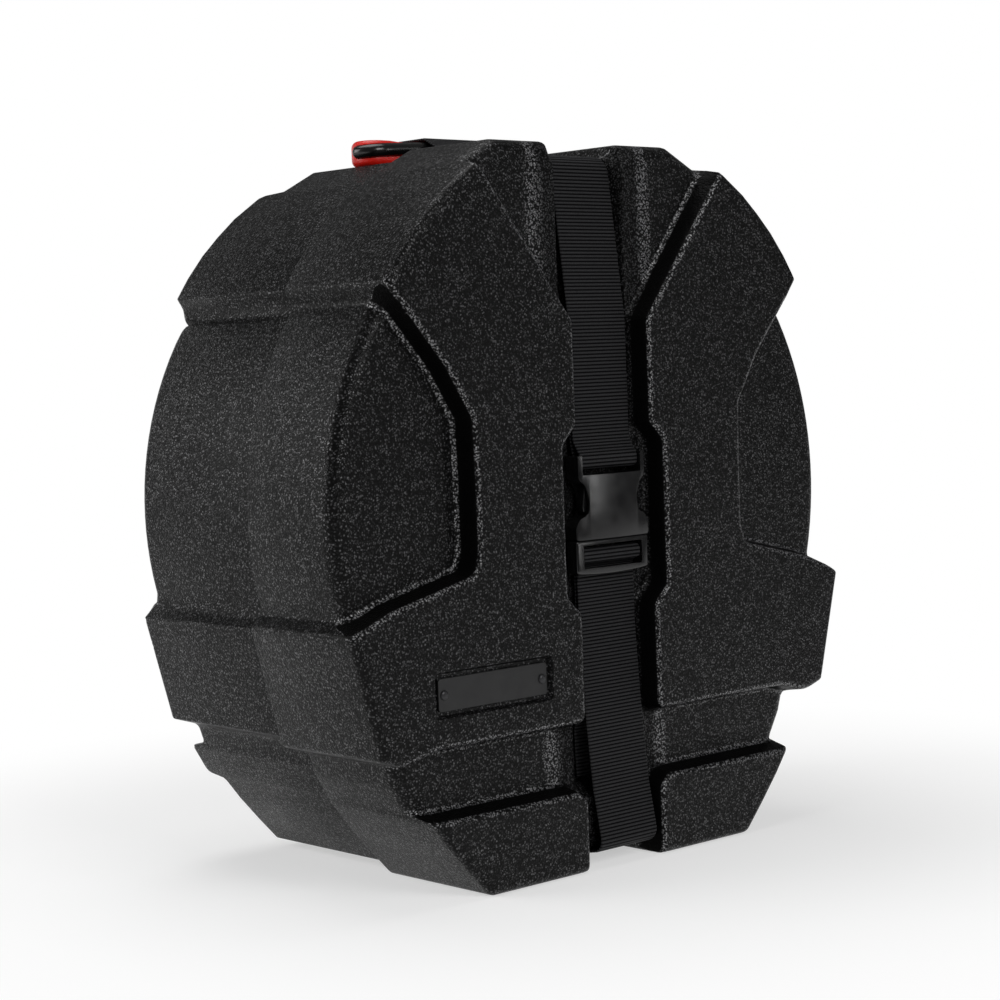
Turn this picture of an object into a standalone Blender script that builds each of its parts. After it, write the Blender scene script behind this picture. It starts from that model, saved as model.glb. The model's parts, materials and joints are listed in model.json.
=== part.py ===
"""Roto-moulded snare drum case: two telescoping halves, a webbing strap with a side-release
buckle, and a carry handle.

Metres, Z up, front towards -Y. Depths and Y values in the tables count from the mid-plane of the
two faces. placed() moves the middle of the outer box to the origin.
"""

import math

import bmesh
import bpy
from mathutils import Matrix, Vector
from mathutils.geometry import delaunay_2d_cdt

# Overall sizes, round the drum that the case holds.
DRUM_RADIUS = 0.178
SIDE_ROOM = 0.034
ROOM_BELOW = 0.050
ROOM_ABOVE = 0.041
FACE_DEPTH = 0.110
RELIEF = 0.016
BUMPER_RISE = 0.015
WALL = 0.005
CLEARANCE = 0.001
GAP = 0.0003
PARTING_Y = -0.014
OVERLAP = 0.036
MERGE = 0.000001
OVERRUN = 0.02

HALF_WIDTH = DRUM_RADIUS + SIDE_ROOM
CENTRE_Z = ROOM_BELOW + DRUM_RADIUS
HEIGHT = CENTRE_Z + DRUM_RADIUS + ROOM_ABOVE
BASE_INSET = WALL + CLEARANCE
LEVEL_LOW = FACE_DEPTH - RELIEF
MID_SHIFT = -BUMPER_RISE / 2
SPIGOT_Y = PARTING_Y - OVERLAP
CORNER_STEP = math.radians(30.0)
CORNER_REACH_SHARE = 0.46
SHARP_ANGLE = math.radians(40.0)
BEND_STEP = math.radians(15.0)

# Webbing and its channel.
WEB_WIDTH = 0.0492
WEB_THICK = 0.0018
CHANNEL_SIDE = 0.0034
CHANNEL_DRAFT = 0.004
PANEL_DRAFT_SHARE = 0.75
CHANNEL_TOP = 0.009
CHANNEL_UNDER = 0.010
WEB_HALF = WEB_WIDTH / 2
CHANNEL_HALF = WEB_HALF + CHANNEL_SIDE
CHANNEL_SOFT = 0.0015
STRAP_SOFT = 0.004
STRAP_TIGHT = 0.0012
WRAP_SOFT = 0.012
EDGE_TURN = 0.008
STRAP_SWEEP = 0.060
SEWN_RISE = 0.0132
BULGE = 0.0027
TAIL = 0.030
PANEL_EDGE = CHANNEL_HALF + PANEL_DRAFT_SHARE * CHANNEL_DRAFT

# Outline of the lid, right half, as shares of the half width and the height, bottom to top.
CORNER_SOFT = 0.008
EDGE_SOFT = 0.004
CREASE_SOFT = 0.003
LOWER_SIDE_SHARES = (
    (0.608, 0.038, 0.0), (0.677, 0.075, 0.0), (0.741, 0.114, 0.0), (0.797, 0.159, 0.0),
    (0.818, 0.19, CREASE_SOFT), (0.908, 0.2036, EDGE_SOFT), (1.0, 0.367, EDGE_SOFT),
    (0.965, 0.3825, CREASE_SOFT),
)
FOOT_END_SHARE = 0.533
SIDE_RADIUS_SHARE = 0.993
SIDE_ARC_SHARES = (0.394, 0.445, 0.495, 0.545, 0.595, 0.647, 0.7, 0.752)
UPPER_SIDE_SHARES = (
    (0.8065, 0.785, EDGE_SOFT), (0.837, 0.8075, EDGE_SOFT), (0.783, 0.8445, 0.0), (0.724, 0.878, 0.0),
    (0.663, 0.906, 0.0), (0.599, 0.932, 0.0), (0.4905, 0.9665, 0.0),
)

# Raised regions, right-hand side, as shares of the half width and the height. They run on past the
# outline where they reach it.
BEYOND_SHARE = 1.132
BELOW_SHARE = -0.045
PANEL_SIDE_SHARES = (
    (BEYOND_SHARE, 0.3456), (0.9717, 0.3758), (0.8585, 0.3971), (0.566, 0.4295), (0.547, 0.4541),
    (0.547, 0.5526), (0.552, 0.6309), (0.6415, 0.6993), (0.7453, 0.7562), (0.8335, 0.8036),
    (1.019, 0.9038), (1.019, 1.0707), (0.658, 1.0707), (0.4858, 0.9642),
)
PANEL_LOW_SHARE = 0.2047
WING_BEND_SHARE = 0.7075
WING_DROP_SHARE = 0.0484
PANEL_DIAGONAL_SHARE = 0.7562
BAND_SHARES = (
    (BEYOND_SHARE, 0.31), (BEYOND_SHARE, 0.86), (0.745, 0.8), (0.855, 0.657), (0.896, 0.51),
    (0.84, 0.31),
)
BAND_STEP = 0.78
BAY_EDGE = 0.0425
BAY_ABOVE = 0.0068
BAY_BELOW = 0.0102
BAY_CHAMFER = 0.011
FOOT_TOP_SHARE = 0.1163
FOOT_CHAMFER = 0.008
BUMPER_START_SHARE = 0.189
BUMPER_SHARES = (0.1197, 0.168)
FLOOR_SHARES = (
    (BELOW_SHARE, 0.4375), (0.0984, 0.4375), (0.1163, -0.375), (0.1969, -0.375), (0.2148, -0.125),
    (0.6711, -0.125), (0.7718, -0.25), (0.9843, -0.656), (1.0738, -0.656),
)

# Shape of a relief edge: (distance inside the edge, share of the step).
EDGE_OUTSIDE = 0.0045
EDGE_WALL = 0.0015
EDGE_INSIDE = 0.005
EDGE_SHAPE = ((-EDGE_OUTSIDE, 0.0), (-EDGE_WALL, 0.12), (EDGE_WALL, 0.9), (EDGE_INSIDE, 1.0))
CHANNEL_SHAPE = ((-CHANNEL_SOFT, 0.0), (CHANNEL_SOFT, 1.0))
RIM_LOW = 0.010
RIM_HIGH = 0.005
RIM_ROW_SHARES = (0.1, 0.35, 1.0)

# Badge: a bare plate in a shallow recess.
BADGE_PLACE_SHARES = (-0.501, 0.2772)
BADGE_SIZE = (0.086, 0.0194)
BADGE_MARGIN = 0.0032
BADGE_DEPTH = 0.0035
BADGE_THICK = 0.0015
BADGE_CORNER = 0.002
BADGE_BEVEL = 0.0004
BADGE_SOFT = 0.001
BADGE_SHAPE = ((-BADGE_SOFT, 0.0), (BADGE_SOFT, 1.0))
RIVET_INSET = 0.0042
RIVET_SHANK = 0.001
RIVET_HEAD = (0.0029, 0.0014)
RIVET_LENGTH = 0.0055

# Moulded feet and hand pocket of the base.
REAR_FOOT_SIZE = (0.046, 0.048)
REAR_FOOT_EDGE = 0.0075
POCKET_DEPTH = 0.029
POCKET_EDGE = 0.004
POCKET_WALL = 0.004
POCKET_ROUND = 0.005

# Handle.
HANDLE_SHARE = 0.546
HANDLE_LENGTH = 0.140
HANDLE_MARGIN = 0.005
HANDLE_WIDTH = 0.026
HANDLE_HEIGHT = 0.0169
HANDLE_BEVEL = 0.0045
HANDLE_RELIEF = 0.0025
HANDLE_FOOT = 0.021
GRIP_RADIUS = 0.0042
GRIP_SINK = 0.0004
GRIP_SHARE = 0.55
GRIP_RISE = 0.003
GRIP_STEP = math.radians(16.0)
GRIP_TURN_STEPS = {-1: 5, 1: 0}
GRIP_SPAN_STEPS = 4
TIP_SHARES = ((0.5, 0.866), (0.866, 0.5), (0.985, 0.174))
SCREW_FROM_END = 0.010
SCREW_SPREAD = 0.0050
SCREW_RADIUS = 0.0022
SCREW_HEAD = (0.0042, 0.0026)
SCREW_BITE = 0.010
PLATE_SIZE = (0.015, 0.024, 0.002)

# Buckle, in the front view. Outlines are shares of its half width and of the socket's height.
BUCKLE_HALF = 0.0316
BUCKLE_SHARE = 0.4555
SOCKET_HEIGHT = 0.0516
BUCKLE_THICK = 0.013
BUCKLE_BEVEL = 0.0016
SLOT_SIDE = 0.0006
EAR_WALL = 0.0034
SLOT_HALF = WEB_HALF + SLOT_SIDE
EAR_EDGE = SLOT_HALF + EAR_WALL
SOCKET_SHARES = (
    (1.0, 0.0, 0.002), (1.0, 0.153, 0.003), (0.905, 0.244, 0.003), (0.677, 0.298, 0.003),
    (0.671, 0.60, 0.005),
)
EAR_LOW_SHARE = 0.667
SLOT_LOW_SHARE = 0.767
BAR_SHARE = 0.911
EAR_CORNER = 0.0015
BAR_RADIUS = 0.0021
BAR_DEPTH_SHARE = 0.46
CROWN = 0.0022
CROWN_STEPS = 8
CAVITY_WALL = 0.0027
CAVITY_HALF_SHARE = 0.614
CAVITY_UPPER_SHARE = 0.82
SHOULDER_SHARES = (0.27, 0.31)
CAVITY_TOP_SHARE = 0.698
PLUG_DROP = 0.0224
PLUG_THICK = 0.0092
PLUG_POST = 0.0059
PLUG_BAR = 0.0046
PLUG_CROSSBAR = 0.0032
PLUG_BEVEL = 0.0014
PLUG_CORNER = 0.005
PLUG_BAR_SHARE = 0.58
TONGUE_HALF = 0.0076
TONGUE_SHARE = 0.57
TONGUE_THICK = 0.0032
PRONG_SHARES = (
    (0.481, 0.0, 0.0006), (0.598, 0.0, 0.0006), (0.598, 0.306, 0.001), (0.715, 0.326, 0.001),
    (0.741, 0.395, 0.002), (0.677, 0.628, 0.003), (0.513, 0.678, 0.0015), (0.475, 0.589, 0.003),
)
PRONG_THICK = 0.0058
PRONG_BEVEL = 0.0007
PRONG_PIVOT_SHARE = 0.538

# Strap fasteners on the base's rear.
STRAP_RIVET_X = 0.014
STRAP_RIVET_SHANK = 0.0024
STRAP_RIVET_HEAD = (0.0056, 0.0023)
WASHER_RADIUS = 0.008
WASHER_THICK = 0.0016
ROUND_SIDES = 12
DOME_SHARES = ((1.0, 0.0), (1.0, 0.25), (0.82, 0.72), (0.45, 1.0))

# Foam.
PAD_SHY = 0.006
PAD_THICK = 0.010
PAD_STEPS = 36
PAD_NOTCH_SHARES = (0.242, 0.662)
CRADLE_ROOM = 0.008
CRADLE_FIT = 0.0004
CRADLE_TOP_SHARE = 0.671
CRADLE_DEPTH = 0.082
CRADLE_STEPS = 36

SHELL_PLASTIC = ((0.018, 0.018, 0.019), 0.0, 0.62)
WEBBING = ((0.014, 0.014, 0.015), 0.0, 0.85)
BUCKLE_PLASTIC = ((0.022, 0.022, 0.023), 0.0, 0.45)
HANDLE_RED = ((0.62, 0.02, 0.015), 0.0, 0.38)
GRIP_BLACK = ((0.008, 0.008, 0.008), 0.0, 0.18)
BADGE_BLACK = ((0.012, 0.012, 0.012), 0.0, 0.40)
FASTENER_STEEL = ((0.42, 0.42, 0.44), 1.0, 0.35)
RIVET_BLACK = ((0.03, 0.03, 0.03), 0.3, 0.40)
FOAM = ((0.02, 0.02, 0.022), 0.0, 0.95)

BADGE_CENTRE = (BADGE_PLACE_SHARES[0] * HALF_WIDTH, BADGE_PLACE_SHARES[1] * HEIGHT)
LID_FLOOR = tuple((z * HEIGHT, LEVEL_LOW + step * RELIEF) for z, step in FLOOR_SHARES)

# How a drawn outline's x, y and depth run in space.
FROM_FRONT = Matrix(((1, 0, 0, 0), (0, 0, -1, 0), (0, 1, 0, 0), (0, 0, 0, 1)))
FROM_SIDE = Matrix(((0, 0, 1, 0), (1, 0, 0, 0), (0, 1, 0, 0), (0, 0, 0, 1)))
FROM_ABOVE = Matrix.Identity(4)

# Heights and depths that several pieces share.
SOCKET_LOW = BUCKLE_SHARE * HEIGHT
SHELF = HEIGHT - CHANNEL_TOP
TOP_WEB_Z = SHELF + GAP + WEB_THICK / 2
UNDER_WEB_Z = CHANNEL_UNDER - WEB_THICK / 2 - GAP
BASE_TOP = HEIGHT - BASE_INSET
HANDLE_LOW = BASE_TOP + GAP
HANDLE_TOP = HANDLE_LOW + HANDLE_HEIGHT
HANDLE_CENTRES = (HANDLE_LENGTH - HANDLE_WIDTH) / 2
HANDLE_Y = PARTING_Y + HANDLE_SHARE * (LEVEL_LOW - PARTING_Y)
SCREW_X = HANDLE_LENGTH / 2 - SCREW_FROM_END
POCKET_HALF = SCREW_X - PLATE_SIZE[0] / 2 - POCKET_WALL - 2 * CLEARANCE
POCKET_REACH = LEVEL_LOW - RIM_LOW - POCKET_WALL - POCKET_EDGE - HANDLE_Y
POCKET_Y = (HANDLE_Y - POCKET_REACH, HANDLE_Y + POCKET_REACH)
GRIP_TRACK = HANDLE_WIDTH / 2 - GRIP_SINK
GRIP_Z = HANDLE_LOW + GRIP_SHARE * HANDLE_HEIGHT
INNER_LOW = LEVEL_LOW - WALL
BUCKLE_BACK = LEVEL_LOW + 2 * GAP
BUCKLE_FRONT = BUCKLE_BACK + BUCKLE_THICK
BAR_DEPTH = BUCKLE_BACK + BAR_DEPTH_SHARE * BUCKLE_THICK
SOCKET_BAR_Z = SOCKET_LOW + BAR_SHARE * SOCKET_HEIGHT
PLUG_LOW = SOCKET_LOW - PLUG_DROP
PLUG_HIGH = SOCKET_LOW - GAP
BAY_TOP = SOCKET_LOW + SOCKET_HEIGHT + BAY_ABOVE
BAY_LOW = PLUG_LOW - BAY_BELOW
PLUG_BAR_Z = PLUG_LOW + PLUG_BAR_SHARE * PLUG_DROP
WRAP = BAR_RADIUS + WEB_THICK / 2 + GAP
WRAP_TURN = WRAP - GAP / 2
BADGE_BACK = FACE_DEPTH - BADGE_DEPTH + GAP
BADGE_FRONT = BADGE_BACK + BADGE_THICK
PAD_RADIUS = DRUM_RADIUS - PAD_SHY
STRAP_RIVET_Z = CENTRE_Z + PAD_RADIUS + WASHER_RADIUS + CLEARANCE
REAR_WEB_Y = LEVEL_LOW + 2 * GAP + WEB_THICK / 2


def placed(x, y, z):
    """A point in the part's frame, from one that counts its Y from the mid-plane."""
    return Vector((x, y + MID_SHIFT, z))


def shape_at(table, distance):
    """Reads a (distance, value) table, straight between its rows and level past its ends."""
    if distance <= table[0][0]:
        return table[0][1]
    for (low, first), (high, second) in zip(table, table[1:]):
        if distance <= high:
            return first + (second - first) * (distance - low) / (high - low)
    return table[-1][1]


def scaled(shares, width=HALF_WIDTH, height=HEIGHT, low=0.0):
    """Points in metres from shares of a width and a height. A corner radius is kept."""
    return tuple((x * width, low + z * height, *rest) for x, z, *rest in shares)


def shifted(keys, gap):
    """Moves every edge of a counter-clockwise loop inwards by gap, keeping its corners."""
    count = len(keys)
    moved = []
    for index in range(count):
        before, here, after = (Vector(keys[(index + step) % count][:2]) for step in (-1, 0, 1))
        first = (here - before).normalized()
        second = (after - here).normalized()
        inwards = Vector((-first.y, first.x)) + Vector((-second.y, second.x))
        moved.append(here + inwards * gap / (1 + first.dot(second)))
    return moved


def arc_between(here, first, second, turn, radius, steps):
    """The rounding of one corner: its points, from the line that comes in to the one that leaves."""
    reach = radius * math.tan(abs(turn) / 2)
    start = here - first * reach
    side = math.copysign(1.0, turn)
    centre = start + Vector((-first.y, first.x)) * radius * side
    return [centre + Matrix.Rotation(turn * step / steps, 2) @ (start - centre) for step in range(steps + 1)]


def turn_between(first, second):
    """The signed angle from one direction to the next."""
    return math.atan2(first.x * second.y - first.y * second.x, first.dot(second))


def rounded(keys, gap=0.0):
    """A closed loop of (x, y, radius) keys with its corners rounded, after moving it inwards by gap."""
    count = len(keys)
    corners = shifted(keys, gap)
    loop = []
    for index, here in enumerate(corners):
        before, after = corners[index - 1], corners[(index + 1) % count]
        first, second = (here - before).normalized(), (after - here).normalized()
        turn = turn_between(first, second)
        radius = keys[index][2]
        if radius <= 0 or abs(turn) < CORNER_STEP / 24:
            loop.append(here)
            continue
        radius = max(radius - gap, radius / 10) if turn > 0 else radius + gap
        most = CORNER_REACH_SHARE * min((here - before).length, (after - here).length)
        radius = min(radius, most / math.tan(abs(turn) / 2))
        loop += arc_between(here, first, second, turn, radius, max(1, math.ceil(abs(turn) / CORNER_STEP)))
    return loop


def mirrored(keys):
    """The same counter-clockwise loop on the other side of X = 0."""
    return tuple((-key[0], *key[1:]) for key in reversed(keys))


def outline_keys():
    """The lid's whole outline, counter-clockwise seen from the front."""
    radius = SIDE_RADIUS_SHARE * HALF_WIDTH
    arc = []
    for share in SIDE_ARC_SHARES:
        rise = share * HEIGHT - CENTRE_Z
        arc.append((math.sqrt(radius ** 2 - rise ** 2), share * HEIGHT, 0.0))
    half = (
        (PANEL_EDGE - CHANNEL_DRAFT, CHANNEL_UNDER, CREASE_SOFT), (PANEL_EDGE, 0.0, EDGE_SOFT),
        (FOOT_END_SHARE * HALF_WIDTH, 0.0, CORNER_SOFT), *scaled(LOWER_SIDE_SHARES), *arc,
        *scaled(UPPER_SIDE_SHARES), (HANDLE_LENGTH / 2 + HANDLE_MARGIN, HEIGHT, CORNER_SOFT),
        (PANEL_EDGE, HEIGHT, EDGE_SOFT),
        (PANEL_EDGE - CHANNEL_DRAFT, SHELF, CREASE_SOFT),
    )
    return half + mirrored(half)


def panel_region(low, bay):
    """The raised panel and wing of the right-hand side, with or without the buckle's bay."""
    region = [(PANEL_EDGE, low), (WING_BEND_SHARE * HALF_WIDTH, low),
              (BEYOND_SHARE * HALF_WIDTH, low - WING_DROP_SHARE * HEIGHT), *scaled(PANEL_SIDE_SHARES)]
    region.append((PANEL_EDGE, PANEL_DIAGONAL_SHARE * HEIGHT))
    if bay:
        region += [(PANEL_EDGE, BAY_TOP + BAY_CHAMFER), (BAY_EDGE, BAY_TOP), (BAY_EDGE, BAY_LOW),
                   (PANEL_EDGE, BAY_LOW - BAY_CHAMFER)]
    return tuple(region)


def foot_region():
    """The raised front of the right-hand foot."""
    far, low, top = BEYOND_SHARE * HALF_WIDTH, BELOW_SHARE * HEIGHT, FOOT_TOP_SHARE * HEIGHT
    return ((PANEL_EDGE, low), (far, low), (far, top), (PANEL_EDGE + FOOT_CHAMFER, top),
            (PANEL_EDGE, top - FOOT_CHAMFER))


def bumper_region():
    """The right-hand rear bumper."""
    near, far = BUMPER_START_SHARE * HALF_WIDTH, BEYOND_SHARE * HALF_WIDTH
    low, high = (share * HEIGHT for share in BUMPER_SHARES)
    return ((near, low), (far, low), (far, high), (near, high))


def badge_region():
    """The recess round the badge."""
    (x, z), (width, height) = BADGE_CENTRE, BADGE_SIZE
    across, up = width / 2 + BADGE_MARGIN, height / 2 + BADGE_MARGIN
    return ((x - across, z - up), (x + across, z - up), (x + across, z + up), (x - across, z + up))


def inside(loop, x, z):
    """Whether a point lies within a loop."""
    found = False
    for first, second in zip(loop, loop[1:] + loop[:1]):
        if (first[1] > z) != (second[1] > z):
            if x < first[0] + (z - first[1]) * (second[0] - first[0]) / (second[1] - first[1]):
                found = not found
    return found


def edge_distance(loop, x, z):
    """Distance to a loop's edge, positive inside it."""
    nearest = math.inf
    for first, second in zip(loop, loop[1:] + loop[:1]):
        run_x, run_z = second[0] - first[0], second[1] - first[1]
        along = ((x - first[0]) * run_x + (z - first[1]) * run_z) / (run_x ** 2 + run_z ** 2)
        along = max(0.0, min(1.0, along))
        nearest = min(nearest, math.hypot(x - first[0] - run_x * along, z - first[1] - run_z * along))
    return nearest if inside(loop, x, z) else -nearest


class Face:
    """The moulded relief of one half's face, as a height out from the mid-plane at any X and Z."""

    def __init__(self, regions, floor, bands=(), bumpers=(), recess=None, inset=0.0):
        self.regions = [list(region) for region in regions]
        self.floor = floor
        self.bands = [list(band) for band in bands]
        self.bumpers = [list(bumper) for bumper in bumpers]
        self.recess = list(recess) if recess else None
        self.inset = inset

    def loop(self, wall):
        """The face's outline, at its outer surface or a wall thickness inside it."""
        return [tuple(point) for point in rounded(outline_keys(), self.inset + wall)]

    def height(self, x, z, wall):
        """The surface's height and its rim radius."""
        steps = [(region, 1.0) for region in self.regions] + [(band, BAND_STEP) for band in self.bands]
        raised = max(step * shape_at(EDGE_SHAPE, edge_distance(loop, x, z) - wall) for loop, step in steps)
        level = LEVEL_LOW + RELIEF * raised
        channel = shape_at(CHANNEL_SHAPE, CHANNEL_HALF + wall - abs(x))
        level += (shape_at(self.floor, z) - level) * channel
        for bumper in self.bumpers:
            level += BUMPER_RISE * shape_at(EDGE_SHAPE, edge_distance(bumper, x, z) - wall)
        if self.recess and not wall:
            level -= BADGE_DEPTH * shape_at(BADGE_SHAPE, edge_distance(self.recess, x, z))
        return level - wall, max(RIM_LOW + (RIM_HIGH - RIM_LOW) * raised - wall, CLEARANCE)

    def creases(self, wall):
        """The lines that the sheet's triangles follow: closed loops, then straight lines."""
        loops = []
        rows = EDGE_SHAPE[::3] if wall else EDGE_SHAPE
        for region in self.regions + self.bands + self.bumpers:
            loops += [shifted(region, distance + wall) for distance, share in rows]
        if self.recess and not wall:
            loops += [shifted(self.recess, distance) for distance, share in BADGE_SHAPE]
        rim, shares = RIM_LOW - wall, RIM_ROW_SHARES[-1:] if wall else RIM_ROW_SHARES
        loops += [rounded(outline_keys(), self.inset + wall + share * rim) for share in shares]
        half, low, high = CHANNEL_HALF + wall, self.floor[0][0], self.floor[-1][0]
        lines = []
        for distance, share in CHANNEL_SHAPE:
            lines += [((side * (half - distance), low), (side * (half - distance), high)) for side in (-1, 1)]
        lines += [((-half, z), (half, z)) for z, depth in self.floor[1:-1]]
        return loops, lines

    def sheet(self, wall):
        """The face as points and triangles, trimmed to its outline."""
        border = self.loop(wall)
        loops, lines = self.creases(wall)
        points, edges = [], []
        for loop in [border] + loops:
            start = len(points)
            points += [Vector(point) for point in loop]
            edges += [(start + index, start + (index + 1) % len(loop)) for index in range(len(loop))]
        for first, second in lines:
            points += [Vector(first), Vector(second)]
            edges.append((len(points) - 2, len(points) - 1))
        found = delaunay_2d_cdt(points, edges, [list(range(len(border)))], 1, MERGE)
        triangles = [tuple(face) for face, origins in zip(found[2], found[5]) if origins]
        lifted = []
        for point in found[0]:
            level, rim = self.height(point.x, point.y, wall)
            distance = max(edge_distance(border, point.x, point.y), 0.0)
            if distance < rim:
                level -= rim - math.sqrt(rim ** 2 - (rim - distance) ** 2)
            lifted.append((point.x, level, point.y))
        return lifted, triangles


def border_of(triangles):
    """The border of a sheet of triangles, as one ordered list of its points."""
    used = {pair for face in triangles for pair in zip(face, face[1:] + face[:1])}
    after = {first: second for first, second in used if (second, first) not in used}
    loop = [next(iter(after))]
    while after[loop[-1]] != loop[0]:
        loop.append(after[loop[-1]])
    return loop


def moulded_shell(name, face, facing, open_y):
    """A shell that is open at one end: a relief face with its skirt, inside and out."""
    mesh = bmesh.new()
    rings = []
    for wall in (0.0, WALL):
        points, triangles = face.sheet(wall)
        made = [mesh.verts.new(placed(x, facing * level, z)) for x, level, z in points]
        for triangle in triangles:
            mesh.faces.new([made[index] for index in triangle])
        border = border_of(triangles)
        ring = [(points[index][0], points[index][2]) for index in border]
        ends = [mesh.verts.new(placed(x, open_y, z)) for x, z in ring]
        for index, here in enumerate(border):
            after = (index + 1) % len(border)
            mesh.faces.new([made[here], made[border[after]], ends[after], ends[index]])
        rings.append((ring, ends))
    close_rim(mesh, rings)
    bmesh.ops.delete(mesh, geom=[vert for vert in mesh.verts if not vert.link_faces], context="VERTS")
    return finished(name, mesh)


def close_rim(mesh, rings):
    """Fills the flat rim between a shell's outer and inner skirt."""
    points, edges, corners = [], [], []
    for ring, ends in rings:
        start = len(points)
        points += [Vector(point) for point in ring]
        corners += ends
        edges += [(start + index, start + (index + 1) % len(ring)) for index in range(len(ring))]
    flat, made, triangles, origins = delaunay_2d_cdt(points, edges, [], 1, 0.0)[:4]
    outer, inner = rings[0][0], rings[1][0]
    for triangle in triangles:
        middle = sum((flat[index] for index in triangle), Vector((0.0, 0.0))) / len(triangle)
        if inside(outer, middle.x, middle.y) and not inside(inner, middle.x, middle.y):
            mesh.faces.new([corners[origins[index][0]] for index in triangle])


def finished(name, mesh):
    """Turns a bmesh into an object of the part, with its faces pointing out."""
    bmesh.ops.remove_doubles(mesh, verts=mesh.verts, dist=MERGE)
    bmesh.ops.recalc_face_normals(mesh, faces=mesh.faces)
    if mesh.calc_volume(signed=True) < 0:
        bmesh.ops.reverse_faces(mesh, faces=mesh.faces)
    data = bpy.data.meshes.new(name)
    mesh.to_mesh(data)
    mesh.free()
    shade(data)
    obj = bpy.data.objects.new(name, data)
    PART.objects.link(obj)
    return obj


def shade(data):
    """Shades a mesh smooth, with its sharp edges kept."""
    data.shade_smooth()
    data.set_sharp_from_angle(angle=SHARP_ANGLE)


def evaluated_mesh(obj):
    """The mesh of an object with its modifiers, or of a curve."""
    bpy.context.view_layer.update()
    return bpy.data.meshes.new_from_object(obj.evaluated_get(bpy.context.evaluated_depsgraph_get()))


def curve_solid(name, curve, matrix):
    """A closed mesh object from a curve, turned into place."""
    holder = bpy.data.objects.new(name, curve)
    PART.objects.link(holder)
    data = evaluated_mesh(holder)
    bpy.data.objects.remove(holder)
    bpy.data.curves.remove(curve)
    mesh = bmesh.new()
    mesh.from_mesh(data)
    bpy.data.meshes.remove(data)
    mesh.transform(Matrix.Translation(placed(0.0, 0.0, 0.0)) @ matrix)
    bmesh.ops.remove_doubles(mesh, verts=mesh.verts, dist=MERGE)
    bmesh.ops.dissolve_limit(mesh, angle_limit=CORNER_STEP / 240, verts=mesh.verts, edges=mesh.edges)
    return finished(name, mesh)


def prism(name, loop, near, far, view):
    """A flat outline with a thickness, from one depth to another in a view."""
    curve = bpy.data.curves.new(name, "CURVE")
    curve.dimensions = "2D"
    curve.fill_mode = "BOTH"
    curve.extrude = (far - near) / 2
    spline = curve.splines.new("POLY")
    spline.points.add(len(loop) - 1)
    for point, (x, y, *rest) in zip(spline.points, loop):
        point.co = (x, y, 0.0, 1.0)
    spline.use_cyclic_u = True
    middle = Matrix.Translation((0.0, 0.0, (near + far) / 2))
    return curve_solid(name, curve, view @ middle)


def box(name, span_x, span_y, span_z):
    """A box between three pairs of limits."""
    mesh = bmesh.new()
    size = Matrix.Diagonal([high - low for low, high in (span_x, span_y, span_z)] + [1.0])
    centre = placed(sum(span_x) / 2, sum(span_y) / 2, sum(span_z) / 2)
    bmesh.ops.create_cube(mesh, size=1.0, matrix=Matrix.Translation(centre) @ size)
    return finished(name, mesh)


def pin(name, radius, centre, axis, low, high):
    """A plain round pin along an axis, from low to high of its centre."""
    mesh = bmesh.new()
    turn = Vector((0.0, 0.0, 1.0)).rotation_difference(Vector(axis)).to_matrix().to_4x4()
    middle = Matrix.Translation((0.0, 0.0, (low + high) / 2))
    bmesh.ops.create_cone(mesh, cap_ends=True, segments=ROUND_SIDES, radius1=radius, radius2=radius,
                          depth=high - low, matrix=Matrix.Translation(placed(*centre)) @ turn @ middle)
    return finished(name, mesh)


def headed(name, rows, centre, axis):
    """A turned fastener: (radius, height) rows from its tip to the crown of its head."""
    profile = [(0.0, rows[0][1]), *rows, (0.0, rows[-1][1])]
    mesh = bmesh.new()
    points = [mesh.verts.new((radius, 0.0, height)) for radius, height in reversed(profile)]
    for first, second in zip(points, points[1:]):
        mesh.edges.new((first, second))
    holder = finished(name, mesh)
    screw = holder.modifiers.new("turn", "SCREW")
    screw.axis = "Z"
    screw.steps = screw.render_steps = ROUND_SIDES
    screw.use_merge_vertices = True
    screw.merge_threshold = MERGE
    data = evaluated_mesh(holder)
    bpy.data.objects.remove(holder)
    mesh = bmesh.new()
    mesh.from_mesh(data)
    turn = Vector((0.0, 0.0, 1.0)).rotation_difference(Vector(axis)).to_matrix().to_4x4()
    mesh.transform(Matrix.Translation(placed(*centre)) @ turn)
    return finished(name, mesh)


def rod(name, path, radius):
    """A round rod along a path, with rounded tips."""
    curve = bpy.data.curves.new(name, "CURVE")
    curve.dimensions = "3D"
    curve.bevel_depth = radius
    curve.bevel_resolution = 3
    curve.use_fill_caps = True
    route = [Vector(point) for point in path]
    start = (route[0] - route[1]).normalized() * radius
    end = (route[-1] - route[-2]).normalized() * radius
    rows = [(route[0] + start * out, share) for out, share in reversed(TIP_SHARES)]
    rows += [(point, 1.0) for point in route]
    rows += [(route[-1] + end * out, share) for out, share in TIP_SHARES]
    spline = curve.splines.new("POLY")
    spline.points.add(len(rows) - 1)
    for point, (here, share) in zip(spline.points, rows):
        point.co = (*here, 1.0)
        point.radius = share
    return curve_solid(name, curve, FROM_ABOVE)


def bake(obj):
    """Replaces an object's mesh by the one with its modifiers."""
    data = evaluated_mesh(obj)
    obj.modifiers.clear()
    shade(data)
    old = obj.data
    obj.data = data
    bpy.data.meshes.remove(old)


def combine(target, tool, operation):
    """Joins a tool to a target or cuts it out, and drops the tool."""
    modifier = target.modifiers.new(operation.lower(), "BOOLEAN")
    modifier.operation = operation
    modifier.solver = "EXACT"
    modifier.object = tool
    bake(target)
    bpy.data.objects.remove(tool)


def soften(obj, width, steps):
    """Bevels the sharp edges of an object."""
    modifier = obj.modifiers.new("soften", "BEVEL")
    modifier.width = width
    modifier.segments = steps
    modifier.limit_method = "ANGLE"
    modifier.angle_limit = SHARP_ANGLE
    bake(obj)


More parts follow.
